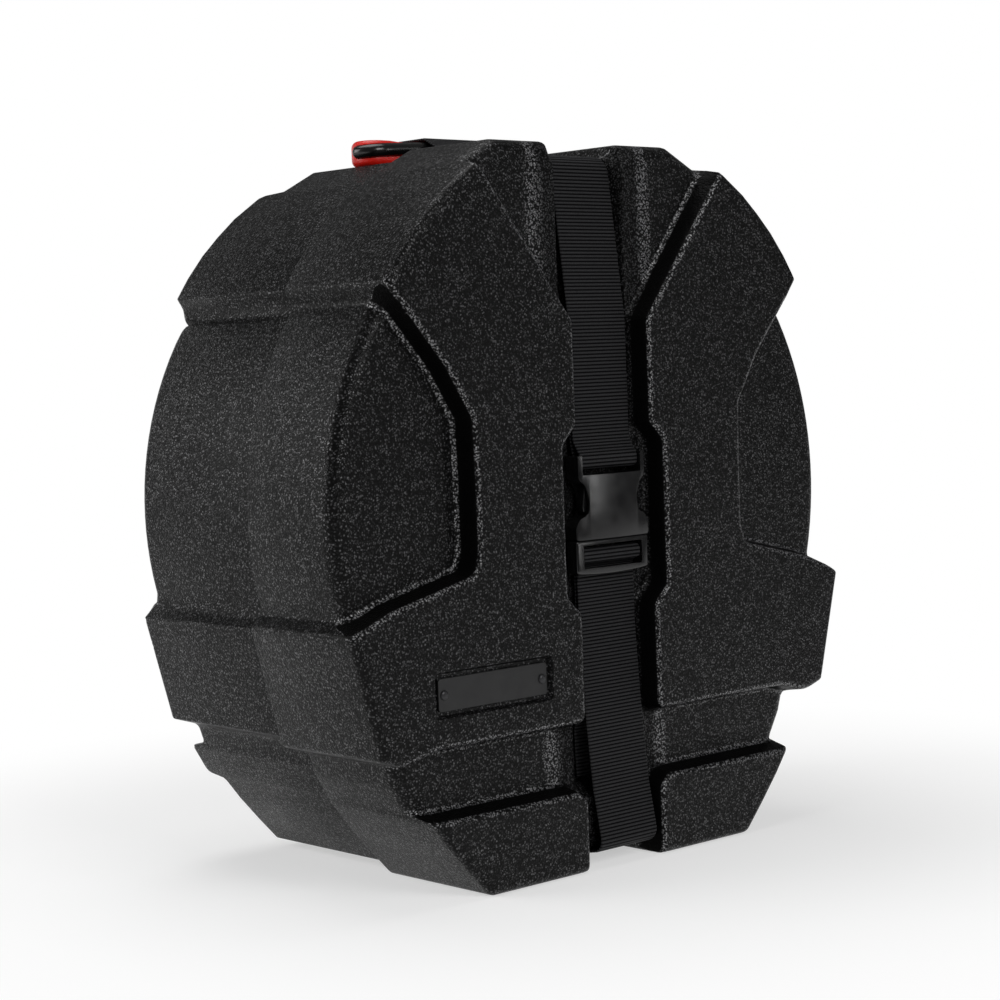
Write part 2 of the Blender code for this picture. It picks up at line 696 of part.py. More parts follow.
def bend(path):
    """A path with a rounded turn at each (y, z, radius) corner."""
    points = []
    for index, (y, z, radius) in enumerate(path):
        here = Vector((y, z))
        if radius <= 0:
            points.append(here)
            continue
        first = (here - Vector(path[index - 1][:2])).normalized()
        second = (Vector(path[index + 1][:2]) - here).normalized()
        turn = turn_between(first, second)
        steps = max(1, math.ceil(abs(turn) / BEND_STEP))
        points += arc_between(here, first, second, turn, radius, steps)
    return points


def webbing(name, path):
    """A length of webbing of even thickness along a path of (y, z, radius) corners."""
    line = bend(path)
    left, right = [], []
    for index, here in enumerate(line):
        first = here - line[index - 1] if index else line[1] - here
        second = line[index + 1] - here if index < len(line) - 1 else first
        first, second = first.normalized(), second.normalized()
        across = Vector((-first.y, first.x)) + Vector((-second.y, second.x))
        arm = across * (WEB_THICK / 2) / (1 + first.dot(second))
        left.append(here + arm)
        right.append(here - arm)
    return prism(name, left + right[::-1], -WEB_HALF, WEB_HALF, FROM_SIDE)


def upper_path():
    """From the parting line over the lid's top to the socket, round its bar and back up."""
    front, back = -BAR_DEPTH - WRAP, -BAR_DEPTH + WRAP
    tail = back + WEB_THICK + 2 * GAP
    over, under = SOCKET_BAR_Z + WRAP, SOCKET_BAR_Z - WRAP
    edge = -shape_at(LID_FLOOR, SHELF) - WEB_THICK / 2 - 2 * GAP
    meet = SOCKET_BAR_Z + SEWN_RISE
    return (
        (PARTING_Y - GAP, TOP_WEB_Z, 0.0), (edge, TOP_WEB_Z, RIM_LOW + WEB_THICK / 2 + GAP),
        (back + GAP, PANEL_DIAGONAL_SHARE * HEIGHT, STRAP_SWEEP), (back, BAY_TOP + BAY_CHAMFER, STRAP_SWEEP),
        (back, meet, WRAP_SOFT), (front, over, STRAP_SOFT), (front, under, WRAP_TURN),
        (back, under, WRAP_TURN), (back, over, BAR_RADIUS), (tail, meet, WRAP_SOFT),
        (tail, meet + TAIL, 0.0),
    )


def lower_path():
    """From the tail behind the plug, over its bar, down the front and under the lid."""
    front, back = -BAR_DEPTH - WRAP, -BAR_DEPTH + WRAP
    tail = back + WEB_THICK + 2 * GAP
    over, under = PLUG_BAR_Z + WRAP, PLUG_BAR_Z - WRAP
    sill = -shape_at(LID_FLOOR, 0.0) - WEB_THICK
    behind = PLUG_LOW + PLUG_BAR + WEB_THICK
    (low, deep), (high, depth) = LID_FLOOR[3:5]
    laid = -deep - WEB_THICK / 2 - 2 * GAP
    return (
        (laid, LID_FLOOR[2][0] + STRAP_SOFT, 0.0), (laid, low - STRAP_SOFT, STRAP_SOFT),
        (tail, high + STRAP_SOFT, STRAP_SOFT), (tail, under, BAR_RADIUS),
        (back, PLUG_BAR_Z - WEB_THICK / 2, STRAP_TIGHT), (back, over, WRAP_TURN),
        (front, over, WRAP_TURN), (front, under, BAR_RADIUS), (back, behind, BAR_RADIUS),
        (back, PLUG_LOW - TAIL, STRAP_SWEEP),
        (sill, FOOT_TOP_SHARE * HEIGHT, STRAP_SWEEP), (sill - BULGE, CHANNEL_UNDER, EDGE_TURN),
        (-LEVEL_LOW, UNDER_WEB_Z, EDGE_TURN), (PARTING_Y - GAP, UNDER_WEB_Z, 0.0),
    )


def taut_slope(first, second):
    """The slope of a line that is taut over two rounds, each given as (y, z, radius)."""
    run, rise = second[0] - first[0], second[1] - first[1]
    return math.atan2(rise, run) + math.asin((second[2] - first[2]) / math.hypot(run, rise))


def base_path():
    """From the parting line over the handle, down the rear and back under the base."""
    lift = WEB_THICK / 2 + GAP
    over, wrap = HANDLE_TOP + lift, RIM_LOW + lift + GAP
    grip_z = GRIP_Z + GRIP_RISE
    round_grip = over - grip_z
    start = (PARTING_Y + BASE_INSET, TOP_WEB_Z, 0.0)
    front, rear = (HANDLE_Y + side * GRIP_TRACK for side in (-1, 1))
    rim_y, rim_z = LEVEL_LOW - RIM_LOW, SHELF - BASE_INSET - RIM_LOW
    climb = taut_slope(start, (front, grip_z, round_grip))
    fall = -taut_slope((rear, grip_z, round_grip), (rim_y, rim_z, wrap))
    under = CHANNEL_UNDER + BASE_INSET - lift - GAP
    return (
        (PARTING_Y + GAP, TOP_WEB_Z, 0.0), (*start[:2], WRAP_SOFT),
        (front - round_grip * math.tan(climb / 2), over, round_grip),
        (rear + round_grip * math.tan(fall / 2), over, round_grip),
        (rim_y + wrap, rim_z + wrap * math.tan(math.pi / 4 - fall / 2), wrap),
        (rim_y + wrap, under, wrap), (PARTING_Y + GAP, UNDER_WEB_Z, 0.0),
    )


def build_lid():
    panel, foot = panel_region(PANEL_LOW_SHARE * HEIGHT, True), foot_region()
    face = Face((panel, mirrored(panel), foot, mirrored(foot)), LID_FLOOR, recess=badge_region())
    lid = moulded_shell("lid_shell", face, -1.0, PARTING_Y)
    for x in badge_rivet_places():
        centre = (x, -FACE_DEPTH, BADGE_CENTRE[1])
        hole = pin("rivet_hole", RIVET_SHANK + GAP, centre, (0, 1, 0), -WALL, RIVET_LENGTH)
        combine(lid, hole, "DIFFERENCE")
    return lid


def badge_rivet_places():
    """The two rivets' places along the badge."""
    reach = BADGE_SIZE[0] / 2 - RIVET_INSET
    return BADGE_CENTRE[0] - reach, BADGE_CENTRE[0] + reach


def build_base():
    panel, bumper = panel_region(BELOW_SHARE * HEIGHT, False), bumper_region()
    floor = ((BELOW_SHARE * HEIGHT, LEVEL_LOW), (BEYOND_SHARE * HEIGHT, LEVEL_LOW))
    band = scaled(BAND_SHARES)
    face = Face((panel, mirrored(panel)), floor, bands=(band, mirrored(band)),
                bumpers=(bumper, mirrored(bumper)), inset=BASE_INSET)
    base = moulded_shell("base_shell", face, 1.0, SPIGOT_Y)
    near, rear = PANEL_EDGE + REAR_FOOT_EDGE, FACE_DEPTH - REAR_FOOT_EDGE
    for side in (-1, 1):
        span = sorted((side * near, side * (near + REAR_FOOT_SIZE[0])))
        foot = box("rear_foot", span, (rear - REAR_FOOT_SIZE[1], rear), (0.0, BASE_INSET + WALL / 2))
        combine(base, foot, "UNION")
    add_pocket(base)
    for x, y in handle_screw_places():
        hole = pin("screw_hole", SCREW_RADIUS + GAP, (x, y, BASE_TOP), (0, 0, 1), -OVERRUN, OVERRUN / 2)
        combine(base, hole, "DIFFERENCE")
    for x in (-STRAP_RIVET_X, STRAP_RIVET_X):
        centre = (x, LEVEL_LOW, STRAP_RIVET_Z)
        hole = pin("strap_hole", STRAP_RIVET_SHANK + GAP, centre, (0, 1, 0), -OVERRUN, OVERRUN)
        combine(base, hole, "DIFFERENCE")
    return base


def add_pocket(base):
    """The hand pocket under the handle: its walls inside the base, then its hollow."""
    floor = BASE_TOP - POCKET_DEPTH
    outer, low = POCKET_HALF + POCKET_WALL, floor - POCKET_WALL
    rim, shelf = BASE_TOP - WALL / 2, SHELF - BASE_INSET - WALL / 2
    inner = PANEL_EDGE + WALL / 2
    half = ((outer, low), (outer, rim), (inner + CHANNEL_DRAFT / 2, rim), (inner - CHANNEL_DRAFT / 2, shelf))
    loop = half + mirrored(half)
    walls = prism("pocket_walls", loop, -POCKET_Y[1] - POCKET_WALL, -POCKET_Y[0] + POCKET_WALL, FROM_FRONT)
    combine(base, walls, "UNION")
    keys = [(x, y, POCKET_ROUND) for x, y in (
        (-POCKET_HALF, POCKET_Y[0]), (POCKET_HALF, POCKET_Y[0]), (POCKET_HALF, POCKET_Y[1]),
        (-POCKET_HALF, POCKET_Y[1]))]
    combine(base, prism("pocket", rounded(keys), floor, BASE_TOP + OVERRUN, FROM_ABOVE), "DIFFERENCE")


def build_badge():
    """The plate and its two rivets."""
    (x, z), (width, height) = BADGE_CENTRE, BADGE_SIZE
    keys = [(x + across * width / 2, z + up * height / 2, BADGE_CORNER)
            for across, up in ((-1, -1), (1, -1), (1, 1), (-1, 1))]
    plate = prism("badge_plate", rounded(keys), BADGE_BACK, BADGE_FRONT, FROM_FRONT)
    soften(plate, BADGE_BEVEL, 1)
    pieces = [plate]
    radius, rise = RIVET_HEAD
    for name, x in zip(("badge_rivet_left", "badge_rivet_right"), badge_rivet_places()):
        centre = (x, -BADGE_FRONT - GAP / 2, z)
        hole = pin("plate_hole", RIVET_SHANK + GAP, centre, (0, 1, 0), -OVERRUN, OVERRUN)
        combine(plate, hole, "DIFFERENCE")
        rows = [(RIVET_SHANK, -RIVET_LENGTH), (RIVET_SHANK, 0.0)]
        rows += [(share * radius, height_share * rise) for share, height_share in DOME_SHARES]
        pieces.append(headed(name, rows, centre, (0, -1, 0)))
    return pieces


def build_straps():
    """The webbing in its three lengths."""
    base = webbing("strap_base", base_path())
    for x in (-STRAP_RIVET_X, STRAP_RIVET_X):
        centre = (x, REAR_WEB_Y, STRAP_RIVET_Z)
        hole = pin("web_hole", STRAP_RIVET_SHANK + GAP, centre, (0, 1, 0), -WEB_WIDTH / 4, WEB_WIDTH / 4)
        combine(base, hole, "DIFFERENCE")
    return [webbing("strap_front_upper", upper_path()), webbing("strap_front_lower", lower_path()), base]


def build_strap_fasteners():
    """A rivet and an inside washer on each side, through the strap and the base's rear wall."""
    rivets, washers = [], []
    out = REAR_WEB_Y + WEB_THICK / 2 + GAP / 2
    washer_y = INNER_LOW - GAP / 2 - WASHER_THICK
    radius, rise = STRAP_RIVET_HEAD
    for side, word in ((-1, "left"), (1, "right")):
        x = side * STRAP_RIVET_X
        rows = [(STRAP_RIVET_SHANK, washer_y - out - GAP), (STRAP_RIVET_SHANK, 0.0)]
        rows += [(share * radius, height_share * rise) for share, height_share in DOME_SHARES]
        rivets.append(headed(f"strap_rivet_{word}", rows, (x, out, STRAP_RIVET_Z), (0, 1, 0)))
        place = (x, washer_y, STRAP_RIVET_Z)
        washer = pin(f"strap_washer_{word}", WASHER_RADIUS, place, (0, 1, 0), 0.0, WASHER_THICK)
        bore = pin("bore", STRAP_RIVET_SHANK + GAP, place, (0, 1, 0), -WASHER_THICK, 2 * WASHER_THICK)
        combine(washer, bore, "DIFFERENCE")
        washers.append(washer)
    return rivets, washers


def build_socket():
    """The female half: a hollow body with open sides, two ears and a bar for the webbing."""
    ears = [(EAR_EDGE, EAR_LOW_SHARE, EDGE_SOFT), (EAR_EDGE, 1.0, EAR_CORNER),
            (SLOT_HALF, 1.0, EAR_CORNER / 2), (SLOT_HALF, SLOT_LOW_SHARE, EAR_CORNER / 2)]
    half = scaled(SOCKET_SHARES, BUCKLE_HALF, SOCKET_HEIGHT, SOCKET_LOW)
    half += tuple((x, SOCKET_LOW + share * SOCKET_HEIGHT, radius) for x, share, radius in ears)
    socket = prism("buckle_socket", rounded(half + mirrored(half)), BUCKLE_BACK, BUCKLE_FRONT, FROM_FRONT)
    combine(socket, crowned_room(BUCKLE_HALF), "INTERSECT")
    soften(socket, BUCKLE_BEVEL, 2)
    add_bar(socket, SOCKET_BAR_Z, SLOT_HALF + EAR_WALL / 2)
    lower, upper = CAVITY_HALF_SHARE * BUCKLE_HALF, CAVITY_UPPER_SHARE * BUCKLE_HALF
    low, top = SOCKET_LOW - OVERRUN, SOCKET_LOW + CAVITY_TOP_SHARE * SOCKET_HEIGHT
    start, end = (SOCKET_LOW + share * SOCKET_HEIGHT for share in SHOULDER_SHARES)
    half = ((lower, low), (lower, start), (upper, end), (upper, top))
    cavity = prism("cavity", half + mirrored(half), BUCKLE_BACK + CAVITY_WALL, BUCKLE_FRONT - CAVITY_WALL,
                   FROM_FRONT)
    combine(socket, cavity, "DIFFERENCE")
    return socket


def crowned_room(half):
    """The room under a front face that falls away by CROWN towards both its sides."""
    reach = half + GAP
    places = [2 * step / CROWN_STEPS - 1 for step in range(CROWN_STEPS + 1)]
    loop = [(reach * place, CROWN * place ** 2 - BUCKLE_FRONT) for place in places]
    loop += [(reach, OVERRUN - BUCKLE_BACK), (-reach, OVERRUN - BUCKLE_BACK)]
    return prism("crown", loop, SOCKET_LOW - OVERRUN, SOCKET_LOW + SOCKET_HEIGHT + OVERRUN, FROM_ABOVE)


def add_bar(target, z, reach):
    """A round bar across a buckle piece, for the webbing to wrap."""
    bar = pin("bar", BAR_RADIUS, (0.0, -BAR_DEPTH, z), (1, 0, 0), -reach, reach)
    combine(target, bar, "UNION")


def build_plug():
    """The male half's frame: two posts, a bottom bar, a round bar and the guide tongue."""
    middle = BAR_DEPTH
    near, far = middle - PLUG_THICK / 2, middle + PLUG_THICK / 2
    outer = BUCKLE_HALF - GAP
    half = ((outer, PLUG_LOW, PLUG_CORNER), (outer, PLUG_HIGH, EAR_CORNER))
    plug = prism("buckle_plug", rounded(half + mirrored(half)), near, far, FROM_FRONT)
    soften(plug, PLUG_BEVEL, 2)
    reach = outer - PLUG_POST
    low, high = PLUG_LOW + PLUG_BAR, PLUG_HIGH - PLUG_CROSSBAR
    window = box("window", (-reach, reach), (-far - OVERRUN, -near + OVERRUN), (low, high))
    combine(plug, window, "DIFFERENCE")
    behind = BAR_DEPTH - WRAP + WEB_THICK / 2 + GAP
    relief = box("relief", (-reach, reach), (-behind, -near + OVERRUN), (PLUG_LOW - OVERRUN, high))
    combine(plug, relief, "DIFFERENCE")
    add_bar(plug, PLUG_BAR_Z, reach + PLUG_POST / 2)
    top = SOCKET_LOW + TONGUE_SHARE * SOCKET_HEIGHT
    depths = (-middle - TONGUE_THICK / 2, -middle + TONGUE_THICK / 2)
    tongue = box("tongue", (-TONGUE_HALF, TONGUE_HALF), depths, (PLUG_HIGH - PLUG_CROSSBAR / 2, top))
    combine(plug, tongue, "UNION")
    return plug


def build_prongs():
    """The plug's two sprung arms, each with its pad in the socket's open side."""
    near, far = BAR_DEPTH - PRONG_THICK / 2, BAR_DEPTH + PRONG_THICK / 2
    keys = scaled(PRONG_SHARES, BUCKLE_HALF, SOCKET_HEIGHT, SOCKET_LOW)
    prongs = []
    for name, side, loop in (("prong_left", -1, mirrored(keys)), ("prong_right", 1, keys)):
        prong = prism(name, rounded(loop), near, far, FROM_FRONT)
        soften(prong, PRONG_BEVEL, 1)
        pivot = placed(side * PRONG_PIVOT_SHARE * BUCKLE_HALF, -BAR_DEPTH, SOCKET_LOW)
        prong.data.transform(Matrix.Translation(-pivot))
        prong.location = pivot
        prongs.append(prong)
    return prongs


def grip_path(side):
    """The centre-line of a grip: along the handle and bowed up in the middle. The front one turns in
    round the handle's ends."""
    track, half = GRIP_TRACK, []
    for step in range(GRIP_TURN_STEPS[side], -1, -1):
        angle = step * GRIP_STEP
        half.append((-HANDLE_CENTRES - track * math.sin(angle), side * track * math.cos(angle)))
    places = [2 * step / GRIP_SPAN_STEPS - 1 for step in range(1, GRIP_SPAN_STEPS)]
    whole = half + [(HANDLE_CENTRES * place, side * track) for place in places]
    whole += [(-x, y) for x, y in reversed(half)]
    reach = HANDLE_CENTRES + track
    return [(x, HANDLE_Y + y, GRIP_Z + GRIP_RISE * (1 - (x / reach) ** 2)) for x, y in whole]


def handle_screw_places():
    """Two screws near each end of the handle."""
    return [(side * SCREW_X, HANDLE_Y + step * SCREW_SPREAD) for side in (-1, 1) for step in (-1, 1)]


def build_handle():
    """The red body and the two grips let into it."""
    half, steps = HANDLE_WIDTH / 2, 8
    loop = []
    for side in (1, -1):
        for step in range(steps + 1):
            angle = math.pi * (step / steps - 0.5 * side)
            loop.append((side * HANDLE_CENTRES + half * math.cos(angle), HANDLE_Y + half * math.sin(angle)))
    body = prism("handle_body", loop, HANDLE_LOW, HANDLE_TOP, FROM_ABOVE)
    soften(body, HANDLE_BEVEL, 2)
    reach = HANDLE_LENGTH / 2 - HANDLE_FOOT
    arch = box("arch", (-reach, reach), (HANDLE_Y - HANDLE_WIDTH, HANDLE_Y + HANDLE_WIDTH),
               (HANDLE_LOW - OVERRUN, HANDLE_LOW + HANDLE_RELIEF))
    combine(body, arch, "DIFFERENCE")
    pieces = [body]
    for name, side in (("handle_grip_front", -1), ("handle_grip_rear", 1)):
        combine(body, rod("groove", grip_path(side), GRIP_RADIUS + GAP), "DIFFERENCE")
        pieces.append(rod(name, grip_path(side), GRIP_RADIUS))
    for x, y in handle_screw_places():
        hole = pin("hole", SCREW_RADIUS + GAP, (x, y, HANDLE_LOW), (0, 0, 1), -OVERRUN, SCREW_BITE + GAP)
        combine(body, hole, "DIFFERENCE")
    return pieces


def build_handle_fasteners():
    """Four screws driven up into the handle, and a plate under each pair of heads."""
    width, length, thick = PLATE_SIZE
    top = BASE_TOP - WALL - GAP
    low = top - thick
    plates, screws = [], []
    places = handle_screw_places()
    for word, pair in (("left", places[:2]), ("right", places[2:])):
        x = pair[0][0]
        plate = box(f"handle_plate_{word}", (x - width / 2, x + width / 2),
                    (HANDLE_Y - length / 2, HANDLE_Y + length / 2), (low, top))
        for end, (x, y) in zip(("front", "rear"), pair):
            hole = pin("hole", SCREW_RADIUS + GAP, (x, y, low), (0, 0, 1), -OVERRUN, OVERRUN)
            combine(plate, hole, "DIFFERENCE")
            radius, head = SCREW_HEAD
            rows = [(radius - GAP, -head), (radius, -head / 2), (radius, 0.0), (SCREW_RADIUS, 0.0),
                    (SCREW_RADIUS, HANDLE_LOW + SCREW_BITE - low)]
            screws.append(headed(f"handle_screw_{word}_{end}", rows, (x, y, low - GAP / 2), (0, 0, 1)))
        plates.append(plate)
    return plates, screws


def arc_loop(radius, first, sweep, steps):
    """Points on a circle about the case's side centre, in the front view."""
    angles = [first + sweep * step / steps for step in range(steps + 1)]
    return [(radius * math.cos(angle), CENTRE_Z + radius * math.sin(angle)) for angle in angles]


def build_foam():
    """A pad inside each face, and the cradle round the drum's lower half."""
    radius = PAD_RADIUS
    deep = shape_at(LID_FLOOR, CENTRE_Z) - WALL - GAP
    notch = CHANNEL_HALF + 2 * WALL + CHANNEL_SOFT
    start = math.acos(notch / radius)
    low, high = (share * HEIGHT for share in PAD_NOTCH_SHARES)
    half = ((notch, low), *arc_loop(radius, -start, 2 * start, PAD_STEPS // 2), (notch, high))
    lid_pad = prism("lid_pad", half + mirrored(half), deep - PAD_THICK, deep, FROM_FRONT)
    disc = arc_loop(radius, 0.0, math.tau, PAD_STEPS)[:-1]
    deep = INNER_LOW - GAP
    base_pad = prism("base_pad", disc, -deep, PAD_THICK - deep, FROM_FRONT)

    top = CRADLE_TOP_SHARE * HEIGHT
    wall = [tuple(point) for point in rounded(outline_keys(), BASE_INSET + WALL + CRADLE_FIT)]
    low = [point for point in wall if point[1] < top]
    outer = [point for point in low if point[0] < 0] + [point for point in low if point[0] >= 0]
    radius = DRUM_RADIUS + CRADLE_ROOM
    start = math.asin((top - CENTRE_Z) / radius)
    inner = arc_loop(radius, start, -math.pi - 2 * start, CRADLE_STEPS)
    far = INNER_LOW - PAD_THICK - 2 * CLEARANCE
    cradle = prism("cradle_liner", outer + inner, -far, CRADLE_DEPTH - far, FROM_FRONT)
    return lid_pad, base_pad, cradle


def dress(pieces, look):
    """Gives each piece its own Principled material."""
    colour, metallic, rough = look
    for obj in pieces:
        material = bpy.data.materials.new(obj.name)
        material.use_nodes = True
        shader = material.node_tree.nodes["Principled BSDF"]
        shader.inputs["Base Color"].default_value = (*colour, 1.0)
        shader.inputs["Metallic"].default_value = metallic
        shader.inputs["Roughness"].default_value = rough
        obj.data.materials.clear()
        obj.data.materials.append(material)


for old in list(bpy.data.objects):
    bpy.data.objects.remove(old)
PART = bpy.data.collections.new("drum_case")
bpy.context.scene.collection.children.link(PART)

dress((build_lid(), build_base()), SHELL_PLASTIC)
badge_plate, *badge_rivets = build_badge()
dress((badge_plate,), BADGE_BLACK)
dress(build_straps(), WEBBING)
strap_rivets, strap_washers = build_strap_fasteners()
dress(badge_rivets + strap_rivets, RIVET_BLACK)
dress((build_socket(), build_plug(), *build_prongs()), BUCKLE_PLASTIC)
handle_body, *grips = build_handle()
dress((handle_body,), HANDLE_RED)
dress(grips, GRIP_BLACK)
handle_plates, handle_screws = build_handle_fasteners()
dress(strap_washers + handle_plates + handle_screws, FASTENER_STEEL)
dress(build_foam(), FOAM)
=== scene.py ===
"""Looks of a moulded snare drum case: two telescoping halves, a webbing strap, its buckle and a handle.

Metres, Z up, front towards -Y. Depths count outwards from the mid-plane of the two faces, at MID_Y.
"""

import json
import logging
import math
from dataclasses import dataclass, field
from enum import Enum

import bmesh
import bpy
import numpy as np
from mathutils import Matrix, Vector
from mathutils.geometry import delaunay_2d_cdt

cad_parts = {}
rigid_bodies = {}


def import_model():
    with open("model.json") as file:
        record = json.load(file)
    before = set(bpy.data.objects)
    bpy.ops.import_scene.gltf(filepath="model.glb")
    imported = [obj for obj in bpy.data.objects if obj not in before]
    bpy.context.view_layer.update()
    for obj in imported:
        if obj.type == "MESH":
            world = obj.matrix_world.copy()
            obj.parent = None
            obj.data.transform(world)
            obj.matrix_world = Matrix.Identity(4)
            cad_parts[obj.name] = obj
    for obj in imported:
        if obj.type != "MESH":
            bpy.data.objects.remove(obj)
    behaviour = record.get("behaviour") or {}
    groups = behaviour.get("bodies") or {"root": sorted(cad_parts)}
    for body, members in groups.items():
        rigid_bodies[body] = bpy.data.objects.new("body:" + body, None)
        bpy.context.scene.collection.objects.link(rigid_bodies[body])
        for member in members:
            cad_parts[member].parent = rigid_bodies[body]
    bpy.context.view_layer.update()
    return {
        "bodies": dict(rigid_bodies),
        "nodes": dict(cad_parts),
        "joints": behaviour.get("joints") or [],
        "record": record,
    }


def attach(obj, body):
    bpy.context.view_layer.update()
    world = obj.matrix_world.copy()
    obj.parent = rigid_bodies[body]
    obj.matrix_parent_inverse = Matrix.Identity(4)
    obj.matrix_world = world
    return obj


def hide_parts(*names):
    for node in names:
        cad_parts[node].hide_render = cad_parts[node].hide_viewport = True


MM = 0.001
MID_Y = -7.5 * MM
GAP = 0.3 * MM
WALL = 5 * MM
# Points closer than MERGED are one, and edges shorter than SLIVER are taken out after a Boolean or bevel.
MERGED = MM / 1000
SLIVER = MM / 100
CENTRE_Z = 228 * MM
HANDLE_Y = 44.97 * MM
BADGE_CENTRE = (-106.21 * MM, 123.91 * MM)
BADGE_SIZE = (86 * MM, 19.4 * MM)
RIVET_HEIGHT = 409 * MM
# X and Y from the handle's middle, in millimetres.
SCREW_PLACES = [(x, y) for x in (-60, 60) for y in (-5, 5)]
SCREW_HOLE = 2.5 * MM
LATHE_STEPS = 40
# Angle in degrees past which a piece's edges stay sharp.
SHARP = 40.0
UP = Vector((0.0, 0.0, 1.0))
FORWARDS = Vector((0.0, -1.0, 0.0))
BACKWARDS = Vector((0.0, 1.0, 0.0))
Mesh = bmesh.types.BMesh
Ring = list[bmesh.types.BMVert]
Key = tuple[float, float, float]
Flat = tuple[float, float]


class Half(Enum):
    """The two telescoping halves, each with the way it faces along Y."""

    LID = -1.0
    BASE = 1.0


class Joining(Enum):
    """What a Boolean does with its tools, by Blender's own name."""

    CUT = "DIFFERENCE"
    JOIN = "UNION"
    KEEP = "INTERSECT"


def millimetres(*keys: tuple) -> list[tuple]:
    """Rows of millimetres as metres."""
    return [tuple(value * MM for value in key) for key in keys]


def both_sides(keys: list[tuple]) -> list[tuple]:
    """A right-hand half outline, low to high, closed by its mirror image."""
    return list(keys) + mirror_keys(keys)


def mirror_keys(keys: list[tuple]) -> list[tuple]:
    """The same counter-clockwise run on the other side of X = 0."""
    return [(-key[0], *key[1:]) for key in reversed(keys)]


def inset_keys(keys: list[tuple], gap: float) -> list[Vector]:
    """Moves every edge of a counter-clockwise loop inwards.

    Args:
        keys: Corner points, with any further values left out of the result.
        gap: How far each edge moves.

    Returns:
        The moved corners.
    """
    moved = []
    for index, key in enumerate(keys):
        here = Vector(key[:2])
        before = Vector(keys[index - 1][:2])
        after = Vector(keys[(index + 1) % len(keys)][:2])
        first = (here - before).normalized()
        second = (after - here).normalized()
        inwards = Vector((-first.y - second.y, first.x + second.x))
        moved.append(here + inwards * gap / (1 + first.dot(second)))
    return moved


def rectangle(x: float, z: float, across: float, up: float, radius: float) -> list[Key]:
    """The corners of an upright rectangle about a point, with their radius."""
    corners = ((-1, -1), (1, -1), (1, 1), (-1, 1))
    return [(x + side * across, z + rise * up, radius) for side, rise in corners]


def turn_between(first: Vector, second: Vector) -> float:
    """The angle from one flat direction to another, positive to the left."""
    return math.atan2(first.x * second.y - first.y * second.x, first.dot(second))


def run_up(steps: np.ndarray) -> np.ndarray:
    """The distance run at the start and after each step."""
    return np.concatenate(([0.0], np.cumsum(steps)))


def corner_arc(here: Vector, first: Vector, second: Vector, radius: float, step: float) -> list[Vector]:
    """The rounding of one corner.

    Args:
        here: The sharp corner.
        first: Direction of the edge that comes in.
        second: Direction of the edge that leaves.
        radius: Radius of the rounding.
        step: Largest angle between two of its points.

    Returns:
        Points from the first edge to the second.
    """
    turn = turn_between(first, second)
    start = here - first * radius * math.tan(abs(turn) / 2)
    centre = start + Vector((-first.y, first.x)) * math.copysign(radius, turn)
    steps = max(1, math.ceil(abs(turn) / step))
    turns = [Matrix.Rotation(turn * index / steps, 2) for index in range(steps + 1)]
    return [centre + part @ (start - centre) for part in turns]


def round_loop(keys: list[tuple], gap: float = 0.0) -> np.ndarray:
    """A closed loop of (x, y, radius) keys with rounded corners.

    Args:
        keys: Corners, counter-clockwise, with their radii.
        gap: How far the loop is first moved inwards.

    Returns:
        The loop's points.
    """
    step, straight, smallest = math.radians(9.0), math.radians(1.0), 1.6 * MM
    corners = inset_keys(keys, gap)
    points: list[Vector] = []
    for index, here in enumerate(corners):
        before, after = corners[index - 1], corners[(index + 1) % len(corners)]
        first, second = (here - before).normalized(), (after - here).normalized()
        turn = turn_between(first, second)
        radius = keys[index][2]
        if radius <= 0 or abs(turn) < straight:
            points.append(here)
            continue
        radius = max(radius - gap, min(radius, smallest)) if turn > 0 else radius + gap
        most = 0.46 * min((here - before).length, (after - here).length)
        radius = min(radius, most / math.tan(abs(turn) / 2))
        points += corner_arc(here, first, second, radius, step)
    return np.array([tuple(point) for point in points])


def resample(loop: np.ndarray, spacing: float) -> tuple[np.ndarray, np.ndarray]:
    """Points along a closed loop at most a spacing apart, keeping its own points.

    Args:
        loop: The loop's points.
        spacing: Largest step along it.

    Returns:
        The points, and the unit normal into the loop at each.
    """
    rows = []
    for here, after in zip(loop, np.roll(loop, -1, axis=0)):
        count = max(1, math.ceil(float(np.hypot(*(after - here))) / spacing))
        rows += [here + (after - here) * index / count for index in range(count)]
    points = np.array(rows)
    along = np.roll(points, -1, axis=0) - np.roll(points, 1, axis=0)
    along /= np.hypot(along[:, 0], along[:, 1])[:, None]
    return points, np.stack((-along[:, 1], along[:, 0]), axis=1)


def depth_inside(points: np.ndarray, loop: np.ndarray) -> np.ndarray:
    """Distance of points to a loop's edge.

    Args:
        points: The points.
        loop: The closed loop's points.

    Returns:
        The distances, positive inside the loop and negative outside.
    """
    start, run = loop, np.roll(loop, -1, axis=0) - loop
    square = np.maximum((run ** 2).sum(axis=1), 1e-18)
    found = []
    for block in np.array_split(points, max(1, len(points) // 4000)):
        away = block[:, None] - start[None]
        along = np.clip((away * run).sum(axis=2) / square, 0.0, 1.0)
        nearest = np.sqrt((((away - along[..., None] * run)) ** 2).sum(axis=2).min(axis=1))
        above = start[:, 1] > block[:, 1:]
        spans = above != (np.roll(start, -1, axis=0)[:, 1] > block[:, 1:])
        rise = np.where(run[:, 1] == 0, 1.0, run[:, 1])
        crossing = start[:, 0] + (block[:, 1:] - start[:, 1]) * run[:, 0] / rise
        inside = (spans & (block[:, :1] < crossing)).sum(axis=1) % 2 == 1
        found.append(np.where(inside, nearest, -nearest))
    return np.concatenate(found)


def eased(value: np.ndarray, low: float, high: float) -> np.ndarray:
    """A smooth step from 0 at low to 1 at high."""
    share = np.clip((value - low) / (high - low), 0.0, 1.0)
    return share * share * (3.0 - 2.0 * share)


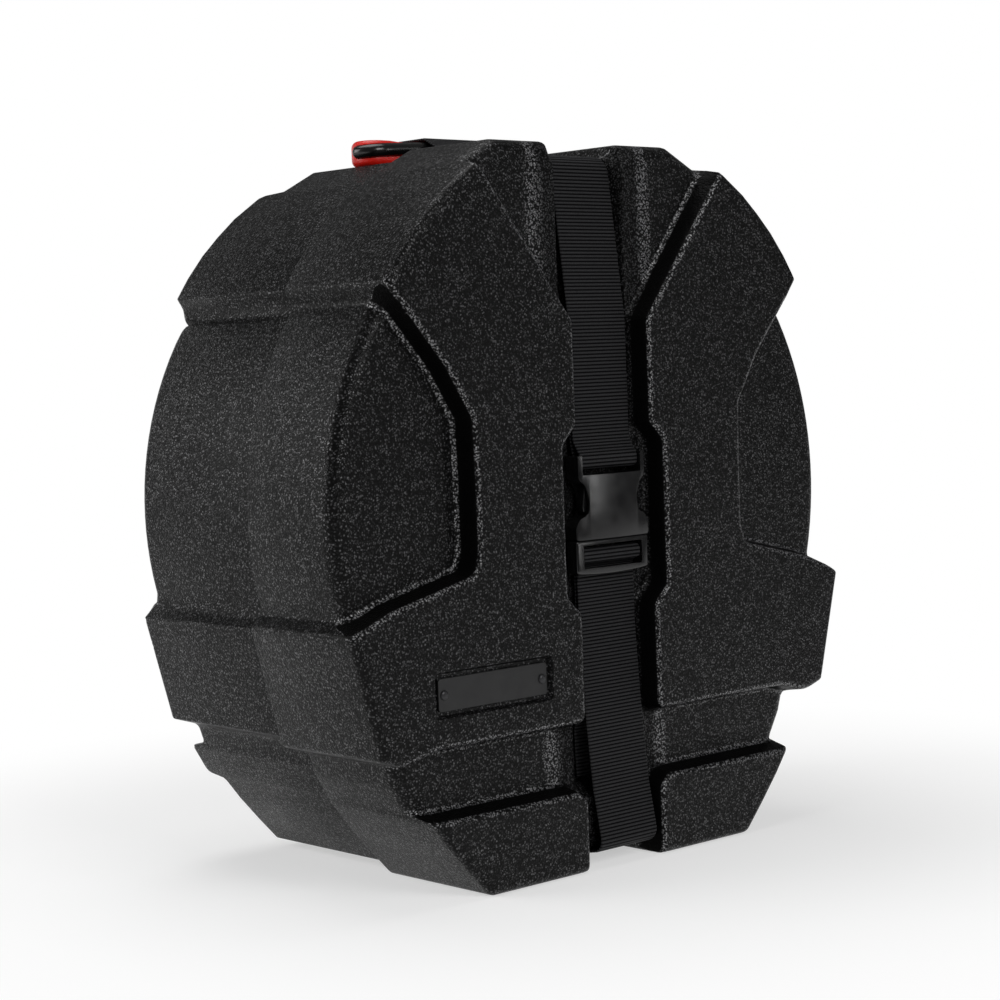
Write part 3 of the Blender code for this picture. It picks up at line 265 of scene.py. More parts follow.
def curve_through(value: np.ndarray, rows: list[Key]) -> np.ndarray:
    """A smooth curve through given places, level past its ends.

    Args:
        value: Where the curve is read.
        rows: Place, height and slope at each given point, in order of place.

    Returns:
        The curve's height at each value.
    """
    result = np.full(value.shape, rows[0][1])
    for (low, first, lean), (high, second, tilt) in zip(rows, rows[1:]):
        width = high - low
        share = np.clip((value - low) / width, 0.0, 1.0)
        cubic = (first * (2 * share ** 3 - 3 * share ** 2 + 1) + second * (3 * share ** 2 - 2 * share ** 3)
                 + lean * width * (share ** 3 - 2 * share ** 2 + share)
                 + tilt * width * (share ** 3 - share ** 2))
        result = np.where(value >= low, cubic, result)
    return result


def thinned(points: np.ndarray, spacing: float) -> np.ndarray:
    """Leaves out points that lie too close to one before them.

    Args:
        points: The points, the ones to keep first.
        spacing: Least distance between two that are kept.

    Returns:
        The kept points.
    """
    cells: dict[tuple[int, int], list[int]] = {}
    kept = []
    for index, (x, y) in enumerate(points):
        column, row = int(x // spacing), int(y // spacing)
        near = [other for across in (-1, 0, 1) for up in (-1, 0, 1)
                for other in cells.get((column + across, row + up), ())]
        if all(math.hypot(x - points[other][0], y - points[other][1]) >= spacing for other in near):
            cells.setdefault((column, row), []).append(index)
            kept.append(index)
    return points[kept]


def finish_mesh(name: str, mesh: Mesh, sharp: float = SHARP) -> bpy.types.Object:
    """Turns a bmesh into a smooth-shaded object at the origin.

    Args:
        name: The piece's name.
        mesh: Its mesh, which is freed.
        sharp: Angle in degrees past which an edge stays sharp.

    Returns:
        The new object.
    """
    bmesh.ops.remove_doubles(mesh, verts=mesh.verts, dist=MERGED)
    bmesh.ops.recalc_face_normals(mesh, faces=mesh.faces)
    if mesh.calc_volume(signed=True) < 0:
        bmesh.ops.reverse_faces(mesh, faces=mesh.faces)
    data = bpy.data.meshes.new(name)
    mesh.to_mesh(data)
    mesh.free()
    data.shade_smooth()
    data.set_sharp_from_angle(angle=math.radians(sharp))
    piece = bpy.data.objects.new(name, data)
    bpy.context.scene.collection.objects.link(piece)
    return piece


def place_at(x: float, z: float, depth: float, half: Half = Half.LID) -> Key:
    """A point of the part, from its front-view place and its depth out from the mid-plane."""
    return (x, MID_Y + half.value * depth, z)


def only_verts(items: list) -> Ring:
    """The vertices among the elements that an operator made."""
    return [item for item in items if isinstance(item, bmesh.types.BMVert)]


def only_edges(items: list) -> list[bmesh.types.BMEdge]:
    """The edges among the elements that an operator made."""
    return [item for item in items if isinstance(item, bmesh.types.BMEdge)]


def drawn_out(points: list[Key], reach: Key) -> Mesh:
    """A flat face drawn out along a line.

    Args:
        points: The face's corners.
        reach: How far and which way it is drawn.

    Returns:
        The closed mesh.
    """
    mesh = bmesh.new()
    face = mesh.faces.new([mesh.verts.new(point) for point in points])
    grown = bmesh.ops.extrude_face_region(mesh, geom=[face])
    bmesh.ops.translate(mesh, verts=only_verts(grown["geom"]), vec=reach)
    bmesh.ops.recalc_face_normals(mesh, faces=mesh.faces)
    return mesh


def triangulated(points: np.ndarray, rim: int) -> tuple[np.ndarray, list[list[int]]]:
    """Triangles over the inside of a loop.

    Args:
        points: The loop's points, then the ones inside it.
        rim: How many of them are the loop's.

    Returns:
        The points that the triangulation uses, and its faces as their indices.
    """
    ring = [(index, (index + 1) % rim) for index in range(rim)]
    found = delaunay_2d_cdt([Vector(point) for point in points.tolist()], ring, [list(range(rim))], 1, 1e-7)
    flat = np.array([tuple(point) for point in found[0]])
    return flat, [face for face, origins in zip(found[2], found[5]) if origins]


def add_faces(mesh: Mesh, made: Ring, faces: list[list[int]]) -> None:
    """Adds faces between vertices, and deletes the vertices that none of them uses.

    Args:
        mesh: The mesh that they go into.
        made: Its vertices.
        faces: The faces, as indices of those.
    """
    for face in faces:
        mesh.faces.new([made[index] for index in face])
    bmesh.ops.delete(mesh, geom=[vert for vert in made if not vert.link_faces], context="VERTS")


def slab(loop: np.ndarray, near: float, far: float, half: Half = Half.LID) -> Mesh:
    """A flat outline in the front view, drawn out from one depth to another."""
    return drawn_out([place_at(x, z, near, half) for x, z in loop], (0.0, half.value * (far - near), 0.0))


def block(span_x: Flat, span_depth: Flat, span_z: Flat, half: Half = Half.LID) -> Mesh:
    """A plain box, used to cut or join.

    Args:
        span_x: Its limits along X.
        span_depth: Its limits of depth.
        span_z: Its limits of height.
        half: Which way depth counts.

    Returns:
        The closed mesh.
    """
    mesh = bmesh.new()
    low = Vector(place_at(span_x[0], span_z[0], span_depth[0], half))
    high = Vector(place_at(span_x[1], span_z[1], span_depth[1], half))
    size = Matrix.Diagonal((*[abs(value) for value in high - low], 1.0))
    bmesh.ops.create_cube(mesh, size=1.0, matrix=Matrix.Translation((low + high) / 2) @ size)
    return mesh


def plan_slab(loop: np.ndarray, low: float, high: float) -> Mesh:
    """A flat outline seen from above, drawn up between two heights."""
    return drawn_out([(x, MID_Y + y, low) for x, y in loop], (0.0, 0.0, high - low))


def crowned(loop: np.ndarray, back: float, front: float, radius: float, crown: float, spacing: float,
            half: Half = Half.LID) -> Mesh:
    """A padded block: a flat back, rounded edges and a face that swells towards its middle.

    Args:
        loop: Its outline in the front view.
        back: Depth of its flat back.
        front: Depth of its face beside its edges.
        radius: Radius of the face's edge.
        crown: How far the middle of the face stands proud.
        spacing: Distance between points of the face.
        half: Which way depth counts.

    Returns:
        The closed mesh.
    """
    edge, inward = resample(loop, spacing)
    groups = [edge + inward * radius * share for share in (0.06, 0.2, 0.42, 0.7, 1.0, 1.5)]
    out = 1.0 if front > back else -1.0
    low, high = loop.min(axis=0), loop.max(axis=0)
    spans = [np.arange(low[axis], high[axis], 1.6 * spacing) for axis in (0, 1)]
    loose = np.stack(np.meshgrid(*spans), 2).reshape(-1, 2)
    loose = loose[depth_inside(loose, loop) > 2.2 * radius]
    rows = np.concatenate(groups)
    rows = thinned(rows[depth_inside(rows, loop) > radius / 25], radius / 20)
    flat, faces = triangulated(np.concatenate((edge, rows, loose)), len(edge))
    distance = np.clip(depth_inside(flat, loop), 0.0, None)
    short = np.maximum(radius - distance, 0.0)
    rounding = radius - np.sqrt(radius ** 2 - short ** 2)
    depth = front - out * rounding + out * crown * (1.0 - np.exp(-distance / (5 * radius)))
    mesh = bmesh.new()
    made = [mesh.verts.new(place_at(x, z, level, half)) for (x, z), level in zip(flat, depth)]
    add_faces(mesh, made, faces)
    rim = [item for item in mesh.edges if item.is_boundary]
    grown = bmesh.ops.extrude_edge_only(mesh, edges=rim)["geom"]
    for vert in only_verts(grown):
        vert.co.y = MID_Y + half.value * back
    bmesh.ops.contextual_create(mesh, geom=only_edges(grown))
    return mesh


def round_bar(radius: float, start: Vector, end: Vector, sides: int = 32) -> Mesh:
    """A plain round bar, used to cut or join.

    Args:
        radius: Its radius.
        start: The middle of one end.
        end: The middle of the other.
        sides: Steps round it.

    Returns:
        The closed mesh.
    """
    mesh = bmesh.new()
    turn = UP.rotation_difference(end - start).to_matrix().to_4x4()
    bmesh.ops.create_cone(mesh, cap_ends=True, segments=sides, radius1=radius, radius2=radius,
                          depth=(end - start).length, matrix=Matrix.Translation((start + end) / 2) @ turn)
    return mesh


def level_bar(radius: float, x: float, z: float, depths: Flat, half: Half = Half.LID,
              sides: int = 24) -> Mesh:
    """A round bar at a place in the front view, which runs level between two depths."""
    near, far = (Vector(place_at(x, z, depth, half)) for depth in depths)
    return round_bar(radius, near, far, sides)


def screw_holes(places: list[Flat], low: float, high: float) -> list[Mesh]:
    """Upright holes for the handle's screws.

    Args:
        places: X and Y from the handle's middle, in millimetres.
        low: Height of their lower ends.
        high: Height of their upper ends.

    Returns:
        Bars to cut the holes with.
    """
    holes = []
    for x, y in places:
        start, end = (Vector((x * MM, MID_Y + HANDLE_Y + y * MM, level)) for level in (low, high))
        holes.append(round_bar(SCREW_HOLE, start, end, 24))
    return holes


def turned(profile: list[Flat], centre: Vector, axis: Vector) -> Mesh:
    """A piece turned on a lathe.

    Args:
        profile: (radius, height) rows along the axis, starting and ending on it.
        centre: Where height 0 lies.
        axis: Direction of the axis.

    Returns:
        The closed mesh.
    """
    mesh = bmesh.new()
    made = [mesh.verts.new((radius, 0.0, height)) for radius, height in profile]
    edges = [mesh.edges.new(pair) for pair in zip(made, made[1:])]
    bmesh.ops.spin(mesh, geom=made + edges, cent=(0.0, 0.0, 0.0), axis=(0.0, 0.0, 1.0), angle=math.tau,
                   steps=LATHE_STEPS, use_merge=True)
    bmesh.ops.remove_doubles(mesh, verts=mesh.verts, dist=MERGED)
    turn = UP.rotation_difference(axis).to_matrix().to_4x4()
    mesh.transform(Matrix.Translation(centre) @ turn)
    return mesh


def swept(rows: np.ndarray) -> Mesh:
    """A tube from rows of points, each row one section, wrapped from a grid.

    Args:
        rows: Points as an array of sections by points round each by 3.

    Returns:
        The closed mesh, with a UV map that runs in metres along and across.
    """
    sections, around = rows.shape[:2]
    mesh = bmesh.new()
    layer = mesh.loops.layers.uv.new("metres")
    bmesh.ops.create_grid(mesh, x_segments=around, y_segments=sections - 1, size=1.0, calc_uvs=False)
    wrapped = np.concatenate((rows, rows[:, :1]), axis=1)
    along = run_up(np.linalg.norm(np.diff(rows.mean(axis=1), axis=0), axis=1))
    across = run_up(np.linalg.norm(np.diff(wrapped, axis=1), axis=2).mean(axis=0))
    places = {}
    for vert in mesh.verts:
        column = round((vert.co.x + 1.0) / 2.0 * around)
        section = round((vert.co.y + 1.0) / 2.0 * (sections - 1))
        places[vert] = (float(along[section]), float(across[column]))
        vert.co = wrapped[section, column]
    for face in mesh.faces:
        for corner in face.loops:
            corner[layer].uv = places[corner.vert]
    bmesh.ops.remove_doubles(mesh, verts=mesh.verts, dist=MERGED)
    bmesh.ops.holes_fill(mesh, edges=[edge for edge in mesh.edges if edge.is_boundary], sides=around)
    return mesh


def combine(piece: bpy.types.Object, tools: list[Mesh], way: Joining = Joining.CUT) -> None:
    """Joins tools to a piece or cuts them out.

    Args:
        piece: The object that is changed.
        tools: Closed meshes that don't touch each other, which are freed.
        way: What is done with them.
    """
    together = bmesh.new()
    for tool in tools:
        bmesh.ops.recalc_face_normals(tool, faces=tool.faces)
        part = bpy.data.meshes.new("part")
        tool.to_mesh(part)
        tool.free()
        together.from_mesh(part)
        bpy.data.meshes.remove(part)
    cutter = finish_mesh("tool", together)
    modifier = piece.modifiers.new("cut", "BOOLEAN")
    modifier.operation = way.value
    modifier.solver = "EXACT"
    modifier.object = cutter
    bake(piece)
    old = cutter.data
    bpy.data.objects.remove(cutter)
    bpy.data.meshes.remove(old)


def bake(piece: bpy.types.Object) -> None:
    """Applies a piece's modifiers to its mesh, and merges the slivers that they leave.

    Args:
        piece: The object that is changed.
    """
    bpy.context.view_layer.update()
    data = bpy.data.meshes.new_from_object(piece.evaluated_get(bpy.context.evaluated_depsgraph_get()))
    piece.modifiers.clear()
    old, piece.data = piece.data, data
    data.name = piece.name
    bpy.data.meshes.remove(old)
    mesh = bmesh.new()
    mesh.from_mesh(data)
    bmesh.ops.dissolve_degenerate(mesh, dist=SLIVER, edges=mesh.edges)
    mesh.to_mesh(data)
    mesh.free()
    data.shade_smooth()
    data.set_sharp_from_angle(angle=math.radians(SHARP))


def soften(piece: bpy.types.Object, width: float, segments: int = 3, angle: float = 35.0) -> None:
    """Rounds the sharp edges of a piece.

    Args:
        piece: The object that is changed.
        width: Width of the rounding.
        segments: Faces across it.
        angle: Angle in degrees past which an edge is rounded.
    """
    modifier = piece.modifiers.new("soften", "BEVEL")
    modifier.width = width
    modifier.segments = segments
    modifier.profile = 0.5
    modifier.limit_method = "ANGLE"
    modifier.angle_limit = math.radians(angle)
    bake(piece)


def linear(code: str) -> tuple[float, float, float, float]:
    """An sRGB hex colour as linear red, green and blue, with an alpha of 1."""
    parts = [int(code[index:index + 2], 16) / 255 for index in (1, 3, 5)]
    return (*[part / 12.92 if part <= 0.04045 else ((part + 0.055) / 1.055) ** 2.4 for part in parts], 1.0)


TIMES = {"operation": "MULTIPLY"}
TIMES_PLUS = {"operation": "MULTIPLY_ADD"}
LARGER = {"operation": "MAXIMUM"}
SMOOTH = {"interpolation_type": "SMOOTHSTEP"}
COLOURS = {"data_type": "RGBA"}


class Graph:
    """The nodes of a material or of the world."""

    def __init__(self, owner: bpy.types.Material | bpy.types.World) -> None:
        """Starts an empty graph with an output.

        Args:
            owner: The material or world that it belongs to.
        """
        owner.use_nodes = True
        self.owner = owner
        self.tree = owner.node_tree
        self.tree.nodes.clear()
        self.output = self.add("Output" + type(owner).__name__)

    def add(self, kind: str, settings: dict | None = None, **links: object) -> bpy.types.Node:
        """Adds a node.

        Args:
            kind: The node's type, without the word ShaderNode before it.
            settings: Properties to set on it.
            links: Input values or sockets, by input name with spaces as underscores, or by i and an index.

        Returns:
            The node.
        """
        node = self.tree.nodes.new("ShaderNode" + kind)
        for name, value in (settings or {}).items():
            setattr(node, name, value)
        for name, value in links.items():
            key = int(name[1:]) if name[0] == "i" and name[1:].isdigit() else name.replace("_", " ")
            if isinstance(value, bpy.types.NodeSocket):
                self.tree.links.new(value, node.inputs[key])
            else:
                node.inputs[key].default_value = value
        return node

    def surface(self, shader: bpy.types.Node) -> bpy.types.Material | bpy.types.World:
        """Links the finished shader and hands the material or world back."""
        self.tree.links.new(shader.outputs[0], self.output.inputs["Surface"])
        return self.owner


@dataclass(frozen=True)
class RotoMouldedPolyethylene:
    """Rotationally moulded polyethylene from a cast, shot-blasted mould: a coarse pebble grain."""

    colour: str = "#090909"
    # The lighter grey painted on glinting pebble tops and relief lips: a painted highlight.
    worn: str = "#565658"
    pebble: float = 1.3 * MM
    depth: float = 0.13 * MM
    roughness: float = 0.36

    def material(self) -> bpy.types.Material:
        """Builds the material: pebbles with painted glints, painted highlights on the relief's lips and
        painted shade in its walls.

        Returns:
            The material.
        """
        graph = Graph(bpy.data.materials.new("roto_moulded_polyethylene"))
        place = graph.add("TexCoord").outputs["Object"]
        warp = graph.add("TexNoise", Vector=place, Scale=1 / (7 * MM), Detail=2.0)
        bent = graph.add("VectorMath", TIMES_PLUS, i0=warp.outputs["Color"],
                         i1=(4 * MM, 4 * MM, 4 * MM), i2=place)
        grain = graph.add("TexVoronoi", Vector=bent.outputs[0], Scale=1 / self.pebble)
        slow = graph.add("TexNoise", Vector=place, Scale=1 / (55 * MM), Detail=2.0)
        swell = graph.add("Bump", Height=slow.outputs["Fac"], Distance=0.5 * MM, Strength=0.5)
        pebbles = graph.add("Bump", {"invert": True}, Height=grain.outputs["Distance"],
                            Distance=self.depth * 2, Strength=1.0, Normal=swell.outputs[0])
        dust = graph.add("MapRange", Value=slow.outputs["Fac"], From_Min=0.35, From_Max=0.7,
                         To_Min=self.roughness - 0.05, To_Max=self.roughness + 0.06)
        # This attribute is the relief's slope, raised beside the strap as painted shade.
        slope = graph.add("Attribute", {"attribute_name": "slope_and_painted_shade"}).outputs["Fac"]
        # Lips where a wall begins get more painted glints, a painted highlight; steep walls get none and a
        # weaker sheen, a painted shade.
        steep = graph.add("MapRange", SMOOTH, Value=slope, From_Min=1.5, From_Max=3.0)
        begun = graph.add("MapRange", SMOOTH, Value=slope, From_Min=0.02, From_Max=0.3)
        flat = graph.add("Math", {"operation": "SUBTRACT"}, i0=1.0, i1=steep.outputs[0])
        lip = graph.add("Math", TIMES, i0=begun.outputs[0], i1=flat.outputs[0])
        tops = graph.add("MapRange", Value=grain.outputs["Distance"], From_Min=0.15, From_Max=0.55,
                         To_Min=1.0, To_Max=0.0)
        chance = graph.add("SeparateXYZ", Vector=grain.outputs["Color"])
        rare = graph.add("Math", {"operation": "POWER"}, i0=chance.outputs[0], i1=1.9)
        often = graph.add("Math", TIMES_PLUS, i0=lip.outputs[0], i1=1.6,
                          i2=rare.outputs[0])
        glint = graph.add("Math", TIMES, i0=often.outputs[0], i1=tops.outputs[0])
        kept = graph.add("Math", TIMES, i0=glint.outputs[0], i1=flat.outputs[0])
        shine = graph.add("MapRange", {"clamp": False}, Value=kept.outputs[0], To_Min=0.1, To_Max=1.0)
        faded = graph.add("MapRange", Value=steep.outputs[0], To_Min=1.0, To_Max=0.25)
        sheen = graph.add("Math", TIMES, i0=shine.outputs[0], i1=faded.outputs[0])
        # Painted highlight: glinting pebble tops and the relief's lips are painted a lighter grey.
        tint = graph.add("Mix", {"data_type": "RGBA", "clamp_factor": False}, Factor=kept.outputs[0],
                         i6=linear(self.colour), i7=linear(self.worn))
        shader = graph.add("BsdfPrincipled", Base_Color=tint.outputs[2],
                           Roughness=dust.outputs[0], Normal=pebbles.outputs[0], IOR=1.51,
                           Specular_IOR_Level=sheen.outputs[0])
        return graph.surface(shader)


@dataclass(frozen=True)
class RibbedWebbing:
    """Woven polypropylene webbing: cross ribs from the weft, with fine warp threads over them."""

    # Crests are painted lighter as painted highlight and troughs darker as painted shade.
    crest: str = "#242426"
    trough: str = "#030304"
    pitch: float = 2.2 * MM
    thread: float = 0.62 * MM

    def material(self) -> bpy.types.Material:
        """Builds the material: painted shade in the troughs between the ribs, painted highlight on the ribs,
        and slanting threads on each rib.

        Returns:
            The material.
        """
        graph = Graph(bpy.data.materials.new("woven_polypropylene_webbing"))
        place = graph.add("UVMap", {"uv_map": "metres"}).outputs[0]
        parts = graph.add("SeparateXYZ", Vector=place)
        wave = graph.add("Math", TIMES, i0=parts.outputs[0], i1=math.tau / self.pitch)
        rib = graph.add("Math", {"operation": "COSINE"}, i0=wave.outputs[0])
        share = graph.add("MapRange", Value=rib.outputs[0], From_Min=-1.0, From_Max=0.7)
        lean = graph.add("Math", TIMES_PLUS, i0=parts.outputs[0], i1=0.55,
                         i2=parts.outputs[1])
        warp = graph.add("Math", TIMES, i0=lean.outputs[0], i1=math.tau / self.thread)
        strand = graph.add("Math", {"operation": "SINE"}, i0=warp.outputs[0])
        fuzz = graph.add("TexNoise", Vector=graph.add("TexCoord").outputs["Object"],
                         Scale=1 / (0.5 * MM), Detail=3.0)
        height = graph.add("Math", TIMES_PLUS, i0=strand.outputs[0], i1=0.5,
                           i2=fuzz.outputs["Fac"])
        bump = graph.add("Bump", Height=height.outputs[0], Distance=0.09 * MM, Strength=0.9)
        mottled = graph.add("Math", TIMES, i0=share.outputs[0], i1=fuzz.outputs["Fac"])
        doubled = graph.add("Math", {"operation": "MULTIPLY", "use_clamp": True}, i0=mottled.outputs[0],
                            i1=1.9)
        # Painted shade and highlight: dark in the troughs, lighter on the crests, mottled by the noise.
        tint = graph.add("Mix", COLOURS, Factor=doubled.outputs[0],
                         i6=linear(self.trough), i7=linear(self.crest))
        shine = graph.add("MapRange", Value=doubled.outputs[0], To_Min=0.02, To_Max=0.35)
        shader = graph.add("BsdfPrincipled", Base_Color=tint.outputs[2], Roughness=0.62,
                           Normal=bump.outputs[0], IOR=1.49, Specular_IOR_Level=shine.outputs[0])
        return graph.surface(shader)


@dataclass(frozen=True)
class MouldedNylon:
    """Injection-moulded nylon from a lightly sparked tool: satin, with a very fine grain."""

    name: str = "moulded_nylon_black"
    colour: str = "#0d0d0e"
    roughness: float = 0.22
    grain: float = 0.55 * MM
    depth: float = 0.018 * MM

    def material(self) -> bpy.types.Material:
        """Builds the material: an even satin sheen, slightly uneven from handling.

        Returns:
            The material.
        """
        graph = Graph(bpy.data.materials.new(self.name))
        place = graph.add("TexCoord").outputs["Object"]
        spark = graph.add("TexNoise", Vector=place, Scale=1 / self.grain, Detail=2.0)
        touch = graph.add("TexNoise", Vector=place, Scale=1 / (9 * MM), Detail=3.0)
        bump = graph.add("Bump", Height=spark.outputs["Fac"], Distance=self.depth, Strength=1.0)
        rough = graph.add("MapRange", Value=touch.outputs["Fac"], From_Min=0.3, From_Max=0.7,
                          To_Min=self.roughness - 0.04, To_Max=self.roughness + 0.05)
        shader = graph.add("BsdfPrincipled", Base_Color=linear(self.colour), Roughness=rough.outputs[0],
                           Normal=bump.outputs[0], IOR=1.53)
        return graph.surface(shader)


@dataclass(frozen=True)
class ClosedCellFoam:
    """Cut closed-cell polyethylene foam: matt, with small open cells on its skin."""

    colour: str = "#3b3b3e"
    cell: float = 1.6 * MM

    def material(self) -> bpy.types.Material:
        """Builds the material: small pits painted darker as painted shade, over a soft, uneven face.

        Returns:
            The material.
        """
        graph = Graph(bpy.data.materials.new("cut_closed_cell_foam"))
        place = graph.add("TexCoord").outputs["Object"]
        cells = graph.add("TexVoronoi", Vector=place, Scale=1 / self.cell)
        soft = graph.add("TexNoise", Vector=place, Scale=1 / (30 * MM), Detail=3.0)
        deep = graph.add("Bump", Height=soft.outputs["Fac"], Distance=1.2 * MM, Strength=0.5)
        pits = graph.add("Bump", Height=cells.outputs["Distance"], Distance=0.3 * MM, Strength=0.7,
                         Normal=deep.outputs[0])
        # Painted shade: the middle of each cell, a small pit, is painted darker.
        shade = graph.add("MapRange", Value=cells.outputs["Distance"], From_Min=0.0, From_Max=0.4,
                          To_Min=1.0, To_Max=0.0)
        tint = graph.add("Mix", COLOURS, Factor=shade.outputs[0],
                         i6=linear(self.colour), i7=linear("#1c1c1e"))
        shader = graph.add("BsdfPrincipled", Base_Color=tint.outputs[2], Roughness=0.92,
                           Normal=pits.outputs[0])
        return graph.surface(shader)


@dataclass(frozen=True)
class PlatedSteel:
    """Cold-headed steel with zinc plating or black oxide: fine turning marks and a soft gleam."""

    name: str = "zinc_plated_steel"
    colour: str = "#b4b4b6"
    metallic: float = 1.0
    roughness: float = 0.34

    def material(self) -> bpy.types.Material:
        """Builds the material: a metal gleam broken by fine marks.

        Returns:
            The material.
        """
        graph = Graph(bpy.data.materials.new(self.name))
        place = graph.add("TexCoord").outputs["Object"]
        marks = graph.add("TexNoise", Vector=place, Scale=1 / (0.6 * MM), Detail=3.0)
        bump = graph.add("Bump", Height=marks.outputs["Fac"], Distance=0.01 * MM, Strength=0.7)
        rough = graph.add("MapRange", Value=marks.outputs["Fac"], From_Min=0.3, From_Max=0.7,
                          To_Min=self.roughness - 0.06, To_Max=self.roughness + 0.1)
        shader = graph.add("BsdfPrincipled", Base_Color=linear(self.colour), Metallic=self.metallic,
                           Roughness=rough.outputs[0], Normal=bump.outputs[0])
        return graph.surface(shader)


class Finishes:
    """Every finish of the case, each built once."""

    def __init__(self) -> None:
        """Builds the materials."""
        self.shell = RotoMouldedPolyethylene().material()
        self.webbing = RibbedWebbing().material()
        self.buckle = MouldedNylon().material()
        self.badge = MouldedNylon("moulded_nylon_plate", "#101011", 0.62, 0.5 * MM, 0.012 * MM).material()
        self.red = MouldedNylon("moulded_nylon_red", "#d81a0c", 0.34, 0.6 * MM, 0.014 * MM).material()
        self.grip = MouldedNylon("moulded_gloss_rubber", "#0d0d0d", 0.23, 0.8 * MM, 0.006 * MM).material()
        self.foam = ClosedCellFoam().material()
        self.rivet = PlatedSteel("black_oxide_steel", "#2c2c2e", 0.4, 0.36).material()
        self.steel = PlatedSteel().material()


def dress(piece: bpy.types.Object, material: bpy.types.Material, body: str, slot: str, *nodes: str) -> None:
    """Gives a piece its finish and its place in the frame.

    Args:
        piece: The finished object.
        material: Its material.
        body: The body that it rides on.
        slot: The record's slot that its finish comes from; not used.
        nodes: The CAD nodes that it stands for.
    """
    piece.data.materials.clear()
    piece.data.materials.append(material)
    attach(piece, body)
    if nodes:
        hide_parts(*nodes)


@dataclass
class CaseOutline:
    """The case's front-view outline and the raised regions of its faces, in metres."""

    half_width: float = 212 * MM
    height: float = 447 * MM
    centre_z: float = CENTRE_Z
    side_radius: float = 210.52 * MM
    panel_edge: float = 31 * MM
    channel_draft: float = 4 * MM
    channel_under: float = 10 * MM
    shelf: float = 438 * MM
    beyond: float = 240 * MM
    below: float = -20 * MM
    wing_bend: float = 150 * MM
    wing_drop: float = 21.63 * MM
    corner: float = 7 * MM
    band_round: float = 60 * MM
    bay: tuple[float, float, float, float] = (42.5 * MM, 171.01 * MM, 262.01 * MM, 11 * MM)

    def keys(self) -> list[Key]:
        """The whole outline, counter-clockwise from the front.

        Returns:
            Its corners, with radii.
        """
        near = self.panel_edge - self.channel_draft
        low = millimetres((113, 0, 8), (128.9, 16.99, 0), (143.52, 33.52, 0), (157.09, 50.96, 0),
                          (168.96, 71.07, 0), (173.42, 84.93, 3), (192.5, 91.01, 4), (212, 164.05, 4),
                          (204.58, 170.98, 3))
        arc = []
        for step in range(17):
            rise = (176.12 + step * 10.001) * MM - self.centre_z
            arc.append((math.sqrt(self.side_radius ** 2 - rise ** 2), self.centre_z + rise, 0.0))
        high = millimetres((170.98, 350.89, 4), (177.44, 360.95, 4), (166, 377.49, 0), (153.49, 392.47, 0),
                           (140.56, 404.98, 0), (126.99, 416.6, 0), (103.99, 432.03, 0), (75, 447, 8))
        start = [(near, self.channel_under, 3 * MM), (self.panel_edge, 0.0, 4 * MM)]
        end = [(self.panel_edge, self.height, 4 * MM), (near, self.shelf, 3 * MM)]
        return both_sides(start + low + arc + high + end)

    def panel(self, low: float, bay: bool) -> list[Key]:
        """The right-hand raised panel and wing.

        Args:
            low: Height of its lower edge.
            bay: Whether the buckle's bay is let into it.

        Returns:
            Its corners, with radii.
        """
        side = millimetres((206, 167.98), (182, 177.5), (119.99, 191.99), (115.96, 202.98), (115.96, 247.01),
                           (117.02, 282.01), (136, 312.59), (158, 338.02), (176.7, 359.21), (216.03, 404),
                           (216.03, 478.6), (139.5, 478.6), (102.99, 431))
        keys = [(self.panel_edge, low), (self.wing_bend, low), (self.beyond, low - self.wing_drop),
                (self.beyond, 154.48 * MM), *side, (self.panel_edge, 338.02 * MM)]
        if bay:
            edge, bottom, top, slope = self.bay
            keys += [(self.panel_edge, top + slope), (edge, top), (edge, bottom),
                     (self.panel_edge, bottom - slope)]
        return [(x, z, self.corner) for x, z in keys]

    def foot(self) -> list[Key]:
        """The right-hand foot's raised front.

        Returns:
            Its corners, with radii.
        """
        top, slope = 51.99 * MM, 8 * MM
        keys = [(self.panel_edge, self.below), (self.beyond, self.below), (self.beyond, top),
                (self.panel_edge + slope, top), (self.panel_edge, top - slope)]
        return [(x, z, self.corner) for x, z in keys]

    def bumper(self) -> list[Key]:
        """The right-hand rear bumper."""
        keys = millimetres((40.07, 53.51), (240, 53.51), (240, 75.1), (40.07, 75.1))
        return [(x, z, self.corner) for x, z in keys]

    def band(self) -> list[Key]:
        """The raised band along the base's right-hand side, from wing to wing.

        Returns:
            Its corners, with radii.
        """
        keys = millimetres((240, 138.57), (240, 384.42), (157.94, 357.6), (181.26, 293.68), (189.95, 227.97),
                           (178.08, 138.57))
        return [(x, z, self.band_round) for x, z in keys]


